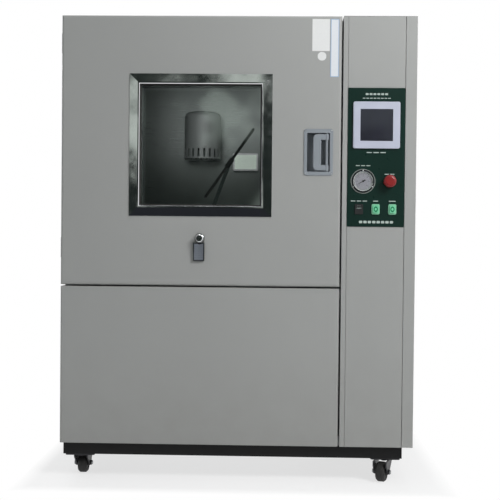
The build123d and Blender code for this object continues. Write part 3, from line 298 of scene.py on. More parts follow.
steel_tone = as_linear(198, 200, 202)
stainless = brushed_steel("stainless", steel_tone, 0.3, (9, 500, 500))
stainless_upright = brushed_steel("stainless_upright", steel_tone, 0.26, (500, 500, 9))
cowl_steel = brushed_steel("cowl_steel", as_linear(214, 222, 220), 0.5, (300, 300, 6), 0.25)
# The liner's darker colour is painted shade for the inside of the closed chamber.
shaded_liner_steel = brushed_steel("shaded_liner_steel", as_linear(118, 124, 122), 0.3, (9, 500, 500))
polished_stainless = mirror_steel("polished_stainless", as_linear(226, 227, 229))
print("steels:", stainless.name, stainless_upright.name, polished_stainless.name)

# %% [markdown]
# Galvanised tube shows spangle, the flat zinc crystals that a Voronoi texture draws well: each cell gets
# its own brightness. The casters' pressed forks are zinc-plated and dulled by handling, so they are
# darker with fine grain.

# %% Galvanised and zinc-plated steel
def galvanised(name, color, scale):
    finish = Finish(name, color, 0.4, 0.9)
    crystal = finish.cells(scale, output="Color")
    grey = finish.node("ShaderNodeRGBToBW", values={0: crystal})
    finish.feed("Base Color", finish.blend(grey, tone(color, 0.72), tone(color, 1.15)))
    finish.feed("Roughness", grey * 0.2 + 0.33)
    return finish.bump(finish.noise(240, 2), 0.1, 0.0003).material


frame_steel = galvanised("frame_steel", as_linear(172, 174, 176), 90)
caster_metal = galvanised("caster_metal", as_linear(62, 62, 64), 420)
print("zinc finishes:", frame_steel.name, caster_metal.name)

# %% [markdown]
# Rubber, plastic and wool. Rubber is dark and dull with a dusty bloom. Moulded plastic has a fine even
# grain. Mineral wool is a mat of fibres, which two noises stretched in different directions suggest.

# %% Rubber, plastics and wool
def rubber(name, color, bloom):
    finish = Finish(name, color, 0.7)
    warm_grey_tint = finish.noise(24, 4, 0.6) * bloom
    finish.feed("Base Color", finish.blend(warm_grey_tint, color, as_linear(128, 122, 112)))
    finish.feed("Roughness", finish.noise(80, 2) * 0.2 + 0.6)
    return finish.bump(finish.noise(900, 2), 0.3, 0.0004).material


def moulded_plastic(name, color, roughness, grain=0.15, coat=0.0):
    finish = Finish(name, color, roughness, Coat_Roughness=0.08)
    patches = finish.noise(26, 2)
    finish.feed("Base Color", finish.blend(patches, tone(color, 0.93), tone(color, 1.07)))
    finish.feed("Roughness", finish.noise(300, 2) * 0.1 + (roughness - 0.05))
    finish.feed("Coat Weight", patches * 0.1 + coat)
    return finish.bump(finish.noise(1400, 1), grain, 0.0002).material


def mineral_wool(name, color):
    finish = Finish(name, color, 0.95)
    fibres = finish.noise(1.0, 4, 0.7, vector=finish.stretched(60, 500, 500))
    crossing = finish.noise(1.0, 4, 0.7, vector=finish.stretched(500, 500, 60, (0.4, 0, 0)))
    mat = fibres * 0.5 + crossing * 0.5
    finish.feed("Base Color", finish.blend(mat, tone(color, 0.6), tone(color, 1.3)))
    return finish.bump(mat, 0.9, 0.003).material


seal_rubber = rubber("seal_rubber", as_linear(36, 36, 37), 0.12)
caster_tread = rubber("caster_tread", as_linear(24, 24, 25), 0.08)
black_plastic = moulded_plastic("black_plastic", as_linear(30, 30, 32), 0.5)
insulation_wool = mineral_wool("insulation_wool", as_linear(205, 192, 140))
print("soft finishes:", seal_rubber.name, caster_tread.name, black_plastic.name, insulation_wool.name)

# %% [markdown]
# Window glass is mostly clear. Real panes reflect more at a shallow angle, so a Fresnel node sets how
# much of the surface is mirror, and the rest lets light through. Dust inside a dust chamber leaves faint
# streaks where the wiper has passed, so a stretched noise adds a little haze.

# %% Glass and clear plastic
def clear_pane(name, tint, haze):
    finish = Finish(name, tint, 0.02, 1.0)
    streaks = finish.noise(1.0, 4, 0.6, vector=finish.stretched(24, 24, 5, (0, 0.5, 0)))
    edge = finish.node("ShaderNodeFresnel", values={"IOR": 1.45})
    finish.feed("Alpha", edge * 0.9 + streaks.power(2.0) * haze)
    finish.feed("Roughness", streaks * 0.05 + 0.01)
    return finish.material


window_glass = clear_pane("window_glass", as_linear(225, 235, 232), 0.10)
clear_window = clear_pane("clear_window", as_linear(215, 222, 232), 0.02)
sleeve_film = clear_pane("sleeve_film", as_linear(235, 238, 240), 0.5)
print("clear finishes:", window_glass.name, clear_window.name, sleeve_film.name)

# %% [markdown]
# Some moulded parts have several colours on one CAD node: the pressure gauge has a dark flange with a
# pale rim, a chromed bezel and a pale dial, and the touch screen has a dark display in a pale frame.
# Distances from the part's own middle, worked out from Object coordinates, choose between the colours.
# The middles come from the nodes' boxes, and the limits are in metres.

# %% Two-tone control parts
def middle_of(node):
    low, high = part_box(node)
    return (low + high) / 2


gauge_middle = middle_of("gauge_case")
screen_middle = middle_of("controller_case")
plate_middle = middle_of("control_plate")
plate_low, plate_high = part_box("control_plate")
plate_face = plate_low.y


def gauge_finish():
    finish = Finish("gauge_case", as_linear(40, 42, 44), 0.3)
    x, y, z = finish.axes()
    across = x - gauge_middle.x
    up = z - gauge_middle.z
    reach = (across * across + up * up).root()
    bezel_inner, bezel_outer, bezel_rise = 0.0272, 0.0318, 0.0021
    dial_outer, flange_inner = 0.0281, 0.0375
    bezel = (reach < bezel_outer) * (reach > bezel_inner) * (y < plate_face - bezel_rise)
    dial = (reach < dial_outer) * (1.0 - bezel)
    wear = finish.noise(90, 3)
    dark = finish.blend(wear, as_linear(30, 32, 34), as_linear(52, 54, 56))
    edge = (reach > flange_inner) * (1.0 - bezel)
    flange = finish.blend(edge, dark, as_linear(150, 156, 152))
    metal = finish.blend(bezel, flange, as_linear(232, 234, 236))
    finish.feed("Base Color", finish.blend(dial, metal, as_linear(236, 234, 240)))
    finish.feed("Metallic", bezel)
    finish.feed("Roughness", wear * 0.1 + 0.12 + dial * 0.3)
    return finish.material


def controller_finish():
    finish = Finish("controller_plastic", as_linear(186, 190, 206), 0.4, Coat_Roughness=0.2)
    x, y, z = finish.axes()
    half_width, half_height = 0.0518, 0.0508
    inside = (x - screen_middle.x).size() < half_width
    inside = inside * ((z - screen_middle.z).size() < half_height)
    rear = y > plate_face + 0.001
    patches = finish.noise(18, 2)
    frame_color = finish.blend(patches, as_linear(180, 184, 202), as_linear(193, 197, 211))
    display = finish.blend(patches, as_linear(44, 44, 66), as_linear(50, 51, 76))
    color = finish.blend(inside, frame_color, display)
    finish.feed("Base Color", finish.blend(rear, color, as_linear(60, 62, 66)))
    finish.feed("Roughness", finish.noise(300, 2) * 0.1 + 0.3)
    finish.feed("Coat Weight", inside * 0.4)
    return finish.bump(finish.noise(1300, 1), 0.1, 0.0002).material


gauge_material = gauge_finish()
controller_plastic = controller_finish()
for name, middle in (("gauge", gauge_middle), ("screen", screen_middle)):
    print(name, "middle", [round(v, 4) for v in middle])

# %% [markdown]
# The control plate is a dark green acrylic sheet with a soft gloss. The two push buttons are lit from
# behind through pale green lenses in mint bezels, and the stop button is a glossy red mushroom. That
# backlight is painted into the lenses' pale colour, as they have no emission.

# %% Coloured control parts
def acrylic_plate():
    finish = Finish("green_plate", as_linear(12, 42, 36), 0.3, Coat_Roughness=0.06, Specular_IOR_Level=0.25)
    clouds = finish.noise(6, 3)
    finish.feed("Base Color", finish.blend(clouds, as_linear(6, 36, 30), as_linear(11, 43, 36)))
    finish.feed("Roughness", finish.noise(160, 2) * 0.12 + 0.24)
    finish.feed("Coat Weight", clouds * 0.08 + 0.02)
    return finish.bump(finish.noise(700, 1), 0.06, 0.0002).material


def switch_finish():
    """Mint bezels on the push buttons, and a dark collar under the stop button."""
    finish = Finish("switch_plastic", as_linear(128, 196, 160), 0.35)
    x, y, z = finish.axes()
    collar = z > plate_low.z + 0.10
    behind = y > plate_face + 0.0005
    patches = finish.noise(60, 2)
    mint = finish.blend(patches, as_linear(120, 190, 152), as_linear(140, 204, 170))
    dark = finish.blend(patches, as_linear(24, 24, 26), as_linear(36, 36, 38))
    finish.feed("Base Color", finish.blend(collar.at_most(1.0) + behind * (1.0 - collar), mint, dark))
    finish.feed("Roughness", finish.noise(260, 2) * 0.1 + 0.3)
    return finish.bump(finish.noise(1200, 1), 0.1, 0.0002).material


def lens_finish():
    """A pale green lens with a darker ring and a bright middle, for either push button. The bright parts
    are painted backlight, as the lens has no emission.
    """
    finish = Finish("button_green", as_linear(30, 150, 100), 0.25, Coat_Roughness=0.1)
    x, y, z = finish.axes()
    light, power = middle_of("light_button"), middle_of("power_button")
    across = (x - light.x).size().at_most((x - power.x).size())
    up = z - light.z
    reach = (across * across + up * up * 0.55).root()
    ring_inner, ring_outer = 0.0034, 0.0066
    ring = (reach > ring_inner) * (reach < ring_outer)
    cloud = finish.noise(140, 2)
    # The pale colour inside and outside the ring is painted backlight; the lens has no emission.
    painted_backlight = finish.blend(cloud, as_linear(96, 200, 150), as_linear(128, 216, 170))
    finish.feed("Base Color", finish.blend(ring, painted_backlight, as_linear(14, 116, 74)))
    finish.feed("Roughness", cloud * 0.1 + 0.2)
    finish.feed("Coat Weight", cloud * 0.2 + 0.4)
    return finish.material


green_plate = acrylic_plate()
switch_plastic = switch_finish()
button_green = lens_finish()
red_plastic = moulded_plastic("red_plastic", as_linear(136, 18, 20), 0.35, grain=0.05, coat=0.15)
print("control finishes:", green_plate.name, switch_plastic.name, button_green.name, red_plastic.name)

# %% [markdown]
# The test space has a lamp on its rear wall, and the sheathed probe shares its CAD node. The lamp glows
# softly where its lens sits inside the rim, and everything else on the node is brushed steel.

# %% Lamp in the test space
lamp_low, lamp_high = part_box("chamber_fittings")
lamp_width, lamp_height, lamp_rim = 0.104, 0.072, 0.007


def lamp_finish():
    finish = Finish("chamber_lamp", steel_tone, 0.3, 0.9, Emission_Strength=1.0)
    x, y, z = finish.axes()
    across = (x - (lamp_low.x + lamp_width / 2)).size() < lamp_width / 2 - lamp_rim
    up = (z - (lamp_low.z + lamp_height / 2)).size() < lamp_height / 2 - lamp_rim
    lens = across * up
    ribs = finish.noise(1.0, 2, vector=finish.stretched(160, 4, 4)) * 0.3
    finish.feed("Base Color", finish.blend(lens, steel_tone, as_linear(226, 230, 222)))
    finish.feed("Metallic", (1.0 - lens) * 0.9)
    glow = finish.blend(lens * (1.0 - ribs), as_linear(0, 0, 0), as_linear(150, 164, 154))
    finish.feed("Emission Color", glow)
    finish.feed("Roughness", finish.noise(90, 2) * 0.2 + 0.25)
    return finish.material


chamber_lamp = lamp_finish()
print("lamp from", [round(v, 3) for v in lamp_low], "to", [round(v, 3) for v in lamp_high])

# %% [markdown]
# Now the finishes go on the CAD nodes. A node's mesh is never changed, only the material in its slots. A
# few nodes share one material slot in the record but want their own version here, such as the duct that
# is brushed upright.

# %% Finish the CAD nodes
slot_finishes = {
    "black_paint": black_paint,
    "caster_metal": caster_metal,
    "caster_tread": caster_tread,
    "frame_steel": frame_steel,
    "body_paint": body_paint,
    "insulation_wool": insulation_wool,
    "black_plastic": black_plastic,
    "stainless": stainless,
    "polished_stainless": polished_stainless,
    "motor_paint": motor_paint,
    "seal_rubber": seal_rubber,
    "window_glass": window_glass,
    "handle_paint": handle_paint,
    "green_plate": green_plate,
    "controller_plastic": controller_plastic,
    "clear_window": clear_window,
    "switch_plastic": switch_plastic,
    "red_plastic": red_plastic,
    "button_green": button_green,
}
own_finishes = {
    "gauge_case": gauge_material,
    "chamber_fittings": chamber_lamp,
    "air_outlet_cowl": cowl_steel,
    "test_space_liner": shaded_liner_steel,
    "riser_duct": stainless_upright,
}
for part in frame["record"]["subparts"]:
    node = part["node"]
    chosen = own_finishes.get(node, slot_finishes[part["material_slot"]])
    piece = frame["nodes"][node]
    if not piece.material_slots:
        piece.data.materials.append(chosen)
    for material_slot in piece.material_slots:
        material_slot.material = chosen

# %% [markdown]
# The small pieces are all made the same way. A bmesh starts from one of Blender's create operators,
# bevels and insets shape it, and `settle` turns it into an object that rides on its CAD body. Sizes are
# given in millimetres, seen from the front, because that is how a maker's drawing gives them.

# %% Helpers for small pieces
def settle(build, name, body, material):
    mesh = bpy.data.meshes.new(name)
    build.to_mesh(mesh)
    build.free()
    mesh.materials.append(material)
    piece = bpy.data.objects.new(name, mesh)
    scene.collection.objects.link(piece)
    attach(piece, body)
    print(name, "has", len(mesh.polygons), "faces and rides on", body)


def bevel_edges(build, edges, offset, segments):
    bmesh.ops.bevel(build, geom=edges, offset=offset * mm, offset_type="OFFSET", affect="EDGES",
                    segments=segments, profile=0.5, material=-1)


def add_slab(build, x, z, width, height, front, thickness, corner=0.0, rim=0.0):
    """A flat plate that faces the front, with rounded corners and a soft front rim."""
    made = bmesh.ops.create_cube(build, size=1.0)["verts"]
    bmesh.ops.scale(build, vec=Vector((width, thickness, height)) * mm, verts=made)
    middle = Vector((x, front + thickness / 2, z)) * mm
    bmesh.ops.translate(build, vec=middle, verts=made)
    if corner:
        edges = {edge for vert in made for edge in vert.link_edges}
        upright = [e for e in edges if abs((e.verts[0].co - e.verts[1].co).y) > 1e-7]
        bevel_edges(build, upright, corner, 4)
    if rim:
        near = [e for e in build.edges if all(abs(v.co.y - front * mm) < 1e-7
                                              and abs(v.co.x - middle.x) < width * mm
                                              and abs(v.co.z - middle.z) < height * mm for v in e.verts)]
        bevel_edges(build, near, rim, 2)


def add_turned(build, profile, place, facing, steps=32):
    """A profile of radius and height, spun about an axis through place, along facing."""
    points = [build.verts.new(Vector((radius, 0, height)) * mm) for radius, height in profile]
    lines = [build.edges.new(pair) for pair in zip(points, points[1:])]
    made = bmesh.ops.spin(build, geom=points + lines, cent=(0, 0, 0), axis=(0, 0, 1), angle=2 * pi,
                          steps=steps, use_merge=True)
    found = set(points) | {v for v in made["geom_last"] if isinstance(v, bmesh.types.BMVert)}
    reached = set(found)
    while found:
        found = {e.other_vert(v) for v in found for e in v.link_edges} - reached
        reached |= found
    verts = list(reached)
    bmesh.ops.remove_doubles(build, verts=verts, dist=1e-6)
    verts = [v for v in verts if v.is_valid]
    faces = list({f for v in verts for f in v.link_faces})
    bmesh.ops.recalc_face_normals(build, faces=faces)
    turn = Vector((0, 0, 1)).rotation_difference(Vector(facing)).to_matrix().to_4x4()
    bmesh.ops.transform(build, matrix=Matrix.Translation(Vector(place) * mm) @ turn, verts=verts)
    return verts


to_front = Matrix.Rotation(pi / 2, 4, "X")
print("helpers for small pieces ready")

# %% [markdown]
# Pan-head screws hold the handle's bezel, the hinges, the gauge and the rear panel. Each is one turned
# profile: a domed head with a round hollow, which stands for the recess at this distance.

# %% Screws
SCREW_STEPS = 12


def add_screw(build, place, facing, radius):
    """A pan-head screw whose seat is at place."""
    rise = 0.55 * radius
    profile = [(radius, 0.0), (radius, 0.35 * rise), (0.82 * radius, 0.8 * rise), (0.45 * radius, rise),
               (0.30 * radius, rise), (0.22 * radius, 0.45 * rise), (0.0, 0.35 * rise)]
    add_turned(build, profile, place, facing, SCREW_STEPS)


front_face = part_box("door_shell")[0].y / mm
handle_low, handle_high = (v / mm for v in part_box("handle_housing"))
screws = bmesh.new()
left_column, right_column, row_inset, bezel_rise = 5, 88.5, 6, 2.6
for x in (handle_low.x + left_column, handle_low.x + right_column):
    for z in (handle_low.z + row_inset, handle_high.z - row_inset):
        add_screw(screws, (x, front_face - bezel_rise, z), (0, -1, 0), 1.9)
settle(screws, "handle_screws", "door", stainless)

flange_reach, flange_rise = 35.0, 1.6
screws = bmesh.new()
for turn in (90, 210, 330):
    x = gauge_middle.x / mm + flange_reach * cos(radians(turn))
    z = gauge_middle.z / mm + flange_reach * sin(radians(turn))
    add_screw(screws, (x, plate_face / mm - flange_rise, z), (0, -1, 0), 2.1)
settle(screws, "gauge_screws", "cabinet", stainless)

# %% [markdown]
# The hinges' leaves have shallow countersinks on their outer side. Their screws are found from the
# leaves' boxes: two columns and two rows on each leaf. The rear panel's screws follow its four edges.

# %% Hinge and panel screws
hinge_length, leaf_offset, sink_depth = 64.0, 3.5, 1.9
leaf_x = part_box("door_shell")[0].x / mm - leaf_offset


def hinge_screws(name, node, body, near, far):
    build = bmesh.new()
    low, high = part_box(node)
    for middle in (low.z / mm + hinge_length / 2, high.z / mm - hinge_length / 2):
        for share in (0.3, 0.75):
            for height in (-0.28, 0.28):
                place = (leaf_x + sink_depth, near + (far - near) * share, middle + hinge_length * height)
                add_screw(build, place, (-1, 0, 0), 3.2)
    settle(build, name, body, stainless)


barrel_y = (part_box("door_inner_panel")[1].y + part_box("opening_collar")[0].y) / 2 / mm
near_gap, far_gap = 7, 47
hinge_screws("hinge_door_screws", "hinge_door_leaves", "door", barrel_y - near_gap, barrel_y - far_gap)
hinge_screws("hinge_frame_screws", "hinge_frame_leaves", "cabinet", barrel_y + near_gap, barrel_y + far_gap)

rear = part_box("rear_panel")
rear_low, rear_high = rear[0] / mm, rear[1] / mm
back_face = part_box("top_panel")[1].y / mm
screws = bmesh.new()
edge_inset = 7
span_x, _, span_z = rear_high - rear_low - 2 * edge_inset * Vector((1, 1, 1))
rows = [rear_low.z + edge_inset + i * span_z / 6 for i in range(7)]
columns = [rear_low.x + edge_inset + i * span_x / 5 for i in range(6)]
places = [(x, z) for x in (columns[0], columns[-1]) for z in rows]
places += [(x, z) for x in columns[1:-1] for z in (rows[0], rows[-1])]
for x, z in places:
    add_screw(screws, (x, back_face, z), (0, 1, 0), 4.0)
settle(screws, "rear_panel_screws", "cabinet", stainless)

# %% [markdown]
# Stickers stay blank: a tall white one and a narrow one with a pale blue edge at the door's upper right
# corner, and a small round one under the tall one. A sticker is a very thin plate with rounded corners.
# Paper has a faint mottle, and dust gathers at its edge, which darkens a narrow rim.

# %% Blank stickers
def sticker_paper(name, color, edge_color, low, high, rim):
    finish = Finish(name, color, 0.45)
    x, y, z = finish.axes()
    inside = (x - low.x * mm).at_most(high.x * mm - x).at_most(z - low.z * mm).at_most(high.z * mm - z)
    border = inside < rim * mm
    mottle = finish.noise(160, 3)
    paper = finish.blend(mottle, tone(color, 0.94), tone(color, 1.02))
    finish.feed("Base Color", finish.blend(border, paper, edge_color))
    finish.feed("Roughness", mottle * 0.15 + 0.36)
    return finish.bump(finish.noise(60, 2), 0.25, 0.0006).material


def sticker(name, x0, x1, z0, z1, corner, color, edge_color, rim):
    build = bmesh.new()
    add_slab(build, (x0 + x1) / 2, (z0 + z1) / 2, x1 - x0, z1 - z0, front_face - 0.25, 0.25, corner)
    paper = sticker_paper(name, color, edge_color, Vector((x0, 0, z0)), Vector((x1, 0, z1)), rim)
    settle(build, name, "door", paper)


white, worn_white = as_linear(228, 229, 228), as_linear(196, 196, 193)
blue_white, pale_blue = as_linear(222, 226, 230), as_linear(150, 176, 206)
sticker("sticker_tall", 234, 291, 1385, 1488, 1.5, white, worn_white, 1.0)
sticker("sticker_narrow", 293, 320, 1303, 1488, 1.5, blue_white, pale_blue, 2.2)

round_x, round_z, radius = 266, 1369, 14
profile = [(radius, 0), (radius, 0.2), (radius - 0.4, 0.25), (0, 0.25)]
build = bmesh.new()
add_turned(build, profile, (round_x, front_face, round_z), (0, -1, 0), 48)
corners = [Vector((round_x + reach, 0, round_z + reach)) for reach in (-radius, radius)]
round_paper = sticker_paper("sticker_round", white, worn_white, *corners, 0.6)
settle(build, "sticker_round", "door", round_paper)

# %% [markdown]
# The control plate's captions become rows of plain bars, because the part carries no lettering. They are
# printed in a pale ink, so each bar is a film that stands a tenth of a millimetre proud. A row is given
# by its offset from the plate's middle, its drop from the plate's top edge, its width and height, and how
# many bars it is broken into.

# %% Plain caption bars
ink = moulded_plastic("printed_white", as_linear(176, 190, 184), 0.5)
captions = [
    (0, 20, 74, 6, 6), (0, 33, 92, 2.6, 8), (0, 206, 66, 3, 3), (-41, 248, 50, 2.8, 3),
    (43, 275, 36, 2.8, 2), (-53, 361, 56, 2.6, 3), (0, 361, 16, 2.6, 1), (53, 361, 22, 2.6, 1),
    (2, 428, 112, 8, 8),
]
build = bmesh.new()
plate_top = plate_high.z / mm
plate_x = plate_middle.x / mm
film_front, film_thickness = plate_face / mm - 0.1, 0.12
bar_share, corner_share = 0.76, 0.3
for offset, drop, width, height, parts in captions:
    pitch = width / parts
    bar = pitch if parts == 1 else pitch * bar_share
    corner = min(bar, height) * corner_share
    for i in range(parts):
        x = plate_x + offset + (i + 0.5) * pitch - width / 2
        add_slab(build, x, plate_top - drop, bar, height, film_front, film_thickness, corner)
settle(build, "caption_bars", "cabinet", ink)

# %% [markdown]
# The gauge's dial has a scale of fine ticks round three quarters of a circle, and plain numbers inside
# it. Ticks are small plates turned about the gauge's middle. Numbers are a text object that is made a
# mesh and then set in place.

# %% Gauge dial
dial_y = plate_face / mm - 3.5
tick_ink = moulded_plastic("printed_black", as_linear(38, 38, 46), 0.5)


def add_text(build, words, x, z, height, front, thickness=0.08):
    """Plain figures as a thin plate that faces the front, centred on x and z."""
    curve = bpy.data.curves.new("figures", "FONT")
    curve.body = words
    curve.align_x, curve.align_y = "CENTER", "CENTER"
    curve.size = height * 1.4
    curve.extrude = thickness / 2
    holder = bpy.data.objects.new("figures", curve)
    scene.collection.objects.link(holder)
    bpy.context.view_layer.update()
    mesh = bpy.data.meshes.new_from_object(holder)
    place = Matrix.Translation(Vector((x, front + thickness / 2, z)))
    mesh.transform(Matrix.Scale(mm, 4) @ place @ to_front)
    build.from_mesh(mesh)
    bpy.data.objects.remove(holder)
    bpy.data.curves.remove(curve)
    bpy.data.meshes.remove(mesh)


dial_start, tick_step, number_step = 225, 9, 45
tick_reach, number_reach = 24.5, 17.3
build = bmesh.new()
centre = gauge_middle / mm
for i in range(31):
    turn = radians(dial_start - tick_step * i)
    long_tick = i % 5 == 0
    length = 4.0 if long_tick else 2.2
    before = set(build.verts)
    add_slab(build, 0, 0, length, 0.7 if long_tick else 0.35, -0.05, 0.1)
    fresh = [v for v in build.verts if v not in before]
    place = Matrix.Translation(Vector((centre.x, dial_y, centre.z)) * mm)
    spin = Matrix.Rotation(-turn, 4, "Y") @ Matrix.Translation(Vector((tick_reach - length / 2, 0, 0)) * mm)
    bmesh.ops.transform(build, matrix=place @ spin, verts=fresh)
for i in range(7):
    turn = radians(dial_start - number_step * i)
    x, z = centre.x + number_reach * cos(turn), centre.z + number_reach * sin(turn)
    add_text(build, str(i), x, z, 3.4, dial_y - 0.06)
settle(build, "gauge_marks", "cabinet", tick_ink)

# %% [markdown]
# The timer has two rows of small figure wheels behind narrow slots. White figures on black wheels are
# legible only as marks at this distance, so zeros in two rows of four are enough, with a pale line
# through the lower row.

# %% Timer figures
timer_middle = middle_of("timer_case")
timer_x, timer_z = timer_middle.x / mm, timer_middle.z / mm
lower_z, row_pitch, column_pitch, slot_front = timer_z + 3, 7.5, 3.6, plate_face / mm - 1.6
build = bmesh.new()
for row in range(2):
    for column in range(4):
        x, z = timer_x + (column - 1.5) * column_pitch, lower_z + row * row_pitch
        add_text(build, "0", x, z, 3.2, slot_front - 0.02)
add_slab(build, timer_x, lower_z, 15, 0.5, slot_front, 0.1)
settle(build, "timer_figures", "cabinet", ink)

# %% [markdown]
# A card in a clear sleeve hangs from the wiper's knob on a loop of cord. It stays blank: a dark border
# round a pale field with faint ruled lines. It hangs straight down on the door while the knob turns
# inside the loop, so all of it rides on the door.

# %% Hanging card
card_width, card_height = 40.0, 64.0
card_x, card_y, card_z = -123.0, front_face - 6.0, 740.0


def card_finish():
    finish = Finish("card_paper", as_linear(206, 214, 226), 0.5)
    x, y, z = finish.axes()
    across = (x - card_x * mm).size()
    up = (z - card_z * mm).size()
    field_x, field_z = 0.0145, 0.0260
    border = (across > field_x) + (up > field_z)
    values = {"Vector": finish.place, "Scale": 48.0}
    lines = finish.node("ShaderNodeTexWave", {"bands_direction": "Z"}, values, "Fac")
    field = finish.blend((lines > 0.86) * 0.35, as_linear(214, 220, 230), as_linear(110, 120, 150))
    finish.feed("Base Color", finish.blend(border.at_most(1.0), field, as_linear(28, 34, 58)))
    finish.feed("Roughness", finish.noise(120, 2) * 0.1 + 0.4)
    return finish.bump(finish.noise(40, 1), 0.1, 0.001).material


build = bmesh.new()
add_slab(build, card_x, card_z, card_width - 5, card_height - 7, card_y, 0.6, 2)
settle(build, "card", "door", card_finish())
build = bmesh.new()
add_slab(build, card_x, card_z + 1, card_width, card_height, card_y - 0.5, 1.6, 3, 0.3)
settle(build, "card_sleeve", "door", sleeve_film)

# %% [markdown]
# The loop is a thin cord that hangs from the knob down to the sleeve. It is a small closed shape and not
# a free cord: a torus whose lower half is stretched downwards.

# %% Loop of cord
knob_low, knob_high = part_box("wiper_knob")
knob_x, knob_z = (knob_low.x + knob_high.x) / 2 / mm, (knob_low.z + knob_high.z) / 2 / mm
loop_radius, cord_radius, stretch = 15.2, 0.7, 1.25
turns = [radians(degrees) for degrees in range(0, 361, 60)]
profile = [(loop_radius + cord_radius * cos(turn), cord_radius * sin(turn)) for turn in turns]
build = bmesh.new()
loop = add_turned(build, profile, (0, 0, 0), (0, -1, 0), 28)
for v in loop:
    if v.co.z < 0:
        v.co.z *= stretch
bmesh.ops.translate(build, vec=Vector((knob_x, card_y + 0.2, knob_z)) * mm, verts=loop)
settle(build, "card_loop", "door", seal_rubber)

# %% [markdown]
# The wiper's knob is knurled so that a gloved hand can turn it. The CAD knob is smooth, so a sleeve of
# ridges goes round it: a short tube whose faces are inset one by one and pushed in.

# %% Knurled grip
build = bmesh.new()
knob_front = knob_low.y / mm
grip_radius, grip_length = 12.5 * mm, 16 * mm
bmesh.ops.create_cone(build, segments=40, radius1=grip_radius, radius2=grip_radius, depth=grip_length,
                      cap_ends=False)
flat = list(build.faces)
bmesh.ops.inset_individual(build, faces=flat, thickness=0.35 * mm, depth=-0.45 * mm)
place = Matrix.Translation(Vector((knob_x, knob_front + 13, knob_z)) * mm)
bmesh.ops.transform(build, matrix=place @ to_front, verts=list(build.verts))
settle(build, "knob_grip", "wiper", polished_stainless)

# %% [markdown]
# A black bead seals the glass against its stainless surround. It starts as one rectangle, whose inset
# leaves a narrow frame, and the frame is given a thickness.

# %% Window bead
window_low, window_high = (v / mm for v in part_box("window_frame"))
window_x = (window_low.x + window_high.x) / 2
window_z = (window_low.z + window_high.z) / 2
surround = 67.0
wide = window_high.x - window_low.x - surround
tall = window_high.z - window_low.z - surround
build = bmesh.new()
sheet = bmesh.ops.create_grid(build, x_segments=1, y_segments=1, size=0.5)["verts"]
bmesh.ops.scale(build, vec=Vector((wide, tall, 1)) * mm, verts=sheet)
middle_face = list(build.faces)
bmesh.ops.inset_region(build, faces=middle_face, thickness=4.5 * mm, use_boundary=True,
                       use_even_offset=True)
bmesh.ops.delete(build, geom=middle_face, context="FACES")
bmesh.ops.solidify(build, geom=list(build.faces), thickness=2.0 * mm)
bmesh.ops.recalc_face_normals(build, faces=list(build.faces))
place = Matrix.Translation(Vector((window_x, front_face - 1.0, window_z)) * mm) @ to_front
bmesh.ops.transform(build, matrix=place, verts=list(build.verts))
settle(build, "window_bead", "door", seal_rubber)

# %% [markdown]
# Each caster's axle has a hexagon nut on either side of the fork. The nut is a six-sided cone of no taper
# with bevelled ends. Each caster's swivel axis and its turn at rest are plain numbers, taken from the CAD
# model.

# %% Axle nuts
casters = {"fl": (-509, -485, 90), "fr": (486, -485, 250), "rl": (-509, 495, 90), "rr": (486, 495, 75)}
trail, half_fork, nut_gap, axle_height = 30.0, 23.0, 5.7, 32.0
nut_radius, nut_length = 6.8 * mm, 3.4 * mm


def axle_nuts(corner, x, y, degrees):
    swivel = Matrix.Translation(Vector((x, y, 0)) * mm) @ Matrix.Rotation(radians(degrees), 4, "Z")
    build = bmesh.new()
    for side in (-1, 1):
        before = set(build.verts)
        bmesh.ops.create_cone(build, segments=6, radius1=nut_radius, radius2=nut_radius, depth=nut_length,
                              cap_ends=True)
        edges = {edge for vert in build.verts if vert not in before for edge in vert.link_edges}
        rim = [e for e in edges if abs(e.verts[0].co.z - e.verts[1].co.z) < 1e-7]
        bevel_edges(build, rim, 0.5, 1)
        fresh = [v for v in build.verts if v not in before]
        place = Matrix.Translation(Vector((trail, side * (half_fork + nut_gap), axle_height)) * mm)
        bmesh.ops.transform(build, matrix=swivel @ place @ to_front, verts=fresh)
    settle(build, "axle_nuts_" + corner, "swivel_" + corner, frame_steel)


for corner, (x, y, degrees) in casters.items():
    axle_nuts(corner, x, y, degrees)

# %% [markdown]
# The floor is a plain pale studio floor. Under and beside the cabinet a third of its look is a matt
# surface, which takes a faint shadow, and the rest is plain white. Further out it is all plain white for
# the camera, for mirrors and for glass, so no horizon shows.

# %% Floor
floor_mesh = bpy.data.meshes.new("floor")
build = bmesh.new()
bmesh.ops.create_grid(build, x_segments=1, y_segments=1, size=30.0)
build.to_mesh(floor_mesh)
build.free()
floor = bpy.data.objects.new("floor", floor_mesh)
scene.collection.objects.link(floor)

finish = Finish("studio_floor", as_linear(250, 250, 250), 0.9, Specular_IOR_Level=0.0)
x, y, z = finish.axes()
reach = x.size().at_least(y.size())
near_floor, fade_width, least_white = 0.52, 0.18, 0.68
far = ((reach - near_floor) / fade_width).at_least(least_white).at_most(1.0)
patches = finish.noise(5, 2)
finish.feed("Base Color", finish.blend(patches, as_linear(249, 249, 249), as_linear(252, 252, 252)))
rays = finish.node("ShaderNodeLightPath", output="Is Camera Ray")
ray_outputs = rays.socket.node.outputs
seen = rays + Wire(finish, ray_outputs["Is Glossy Ray"]) + Wire(finish, ray_outputs["Is Transmission Ray"])
white_out = finish.node("ShaderNodeEmission", values={"Color": (1, 1, 1, 1), "Strength": 1.0})
floor_shader = Wire(finish, finish.shader.outputs[0])
values = {0: far * seen.at_most(1.0), 1: floor_shader, 2: white_out}
mixed = finish.node("ShaderNodeMixShader", values=values)
finish.tree.links.new(mixed.socket, finish.tree.nodes["Material Output"].inputs["Surface"])
floor_mesh.materials.append(finish.material)
print("floor laid")

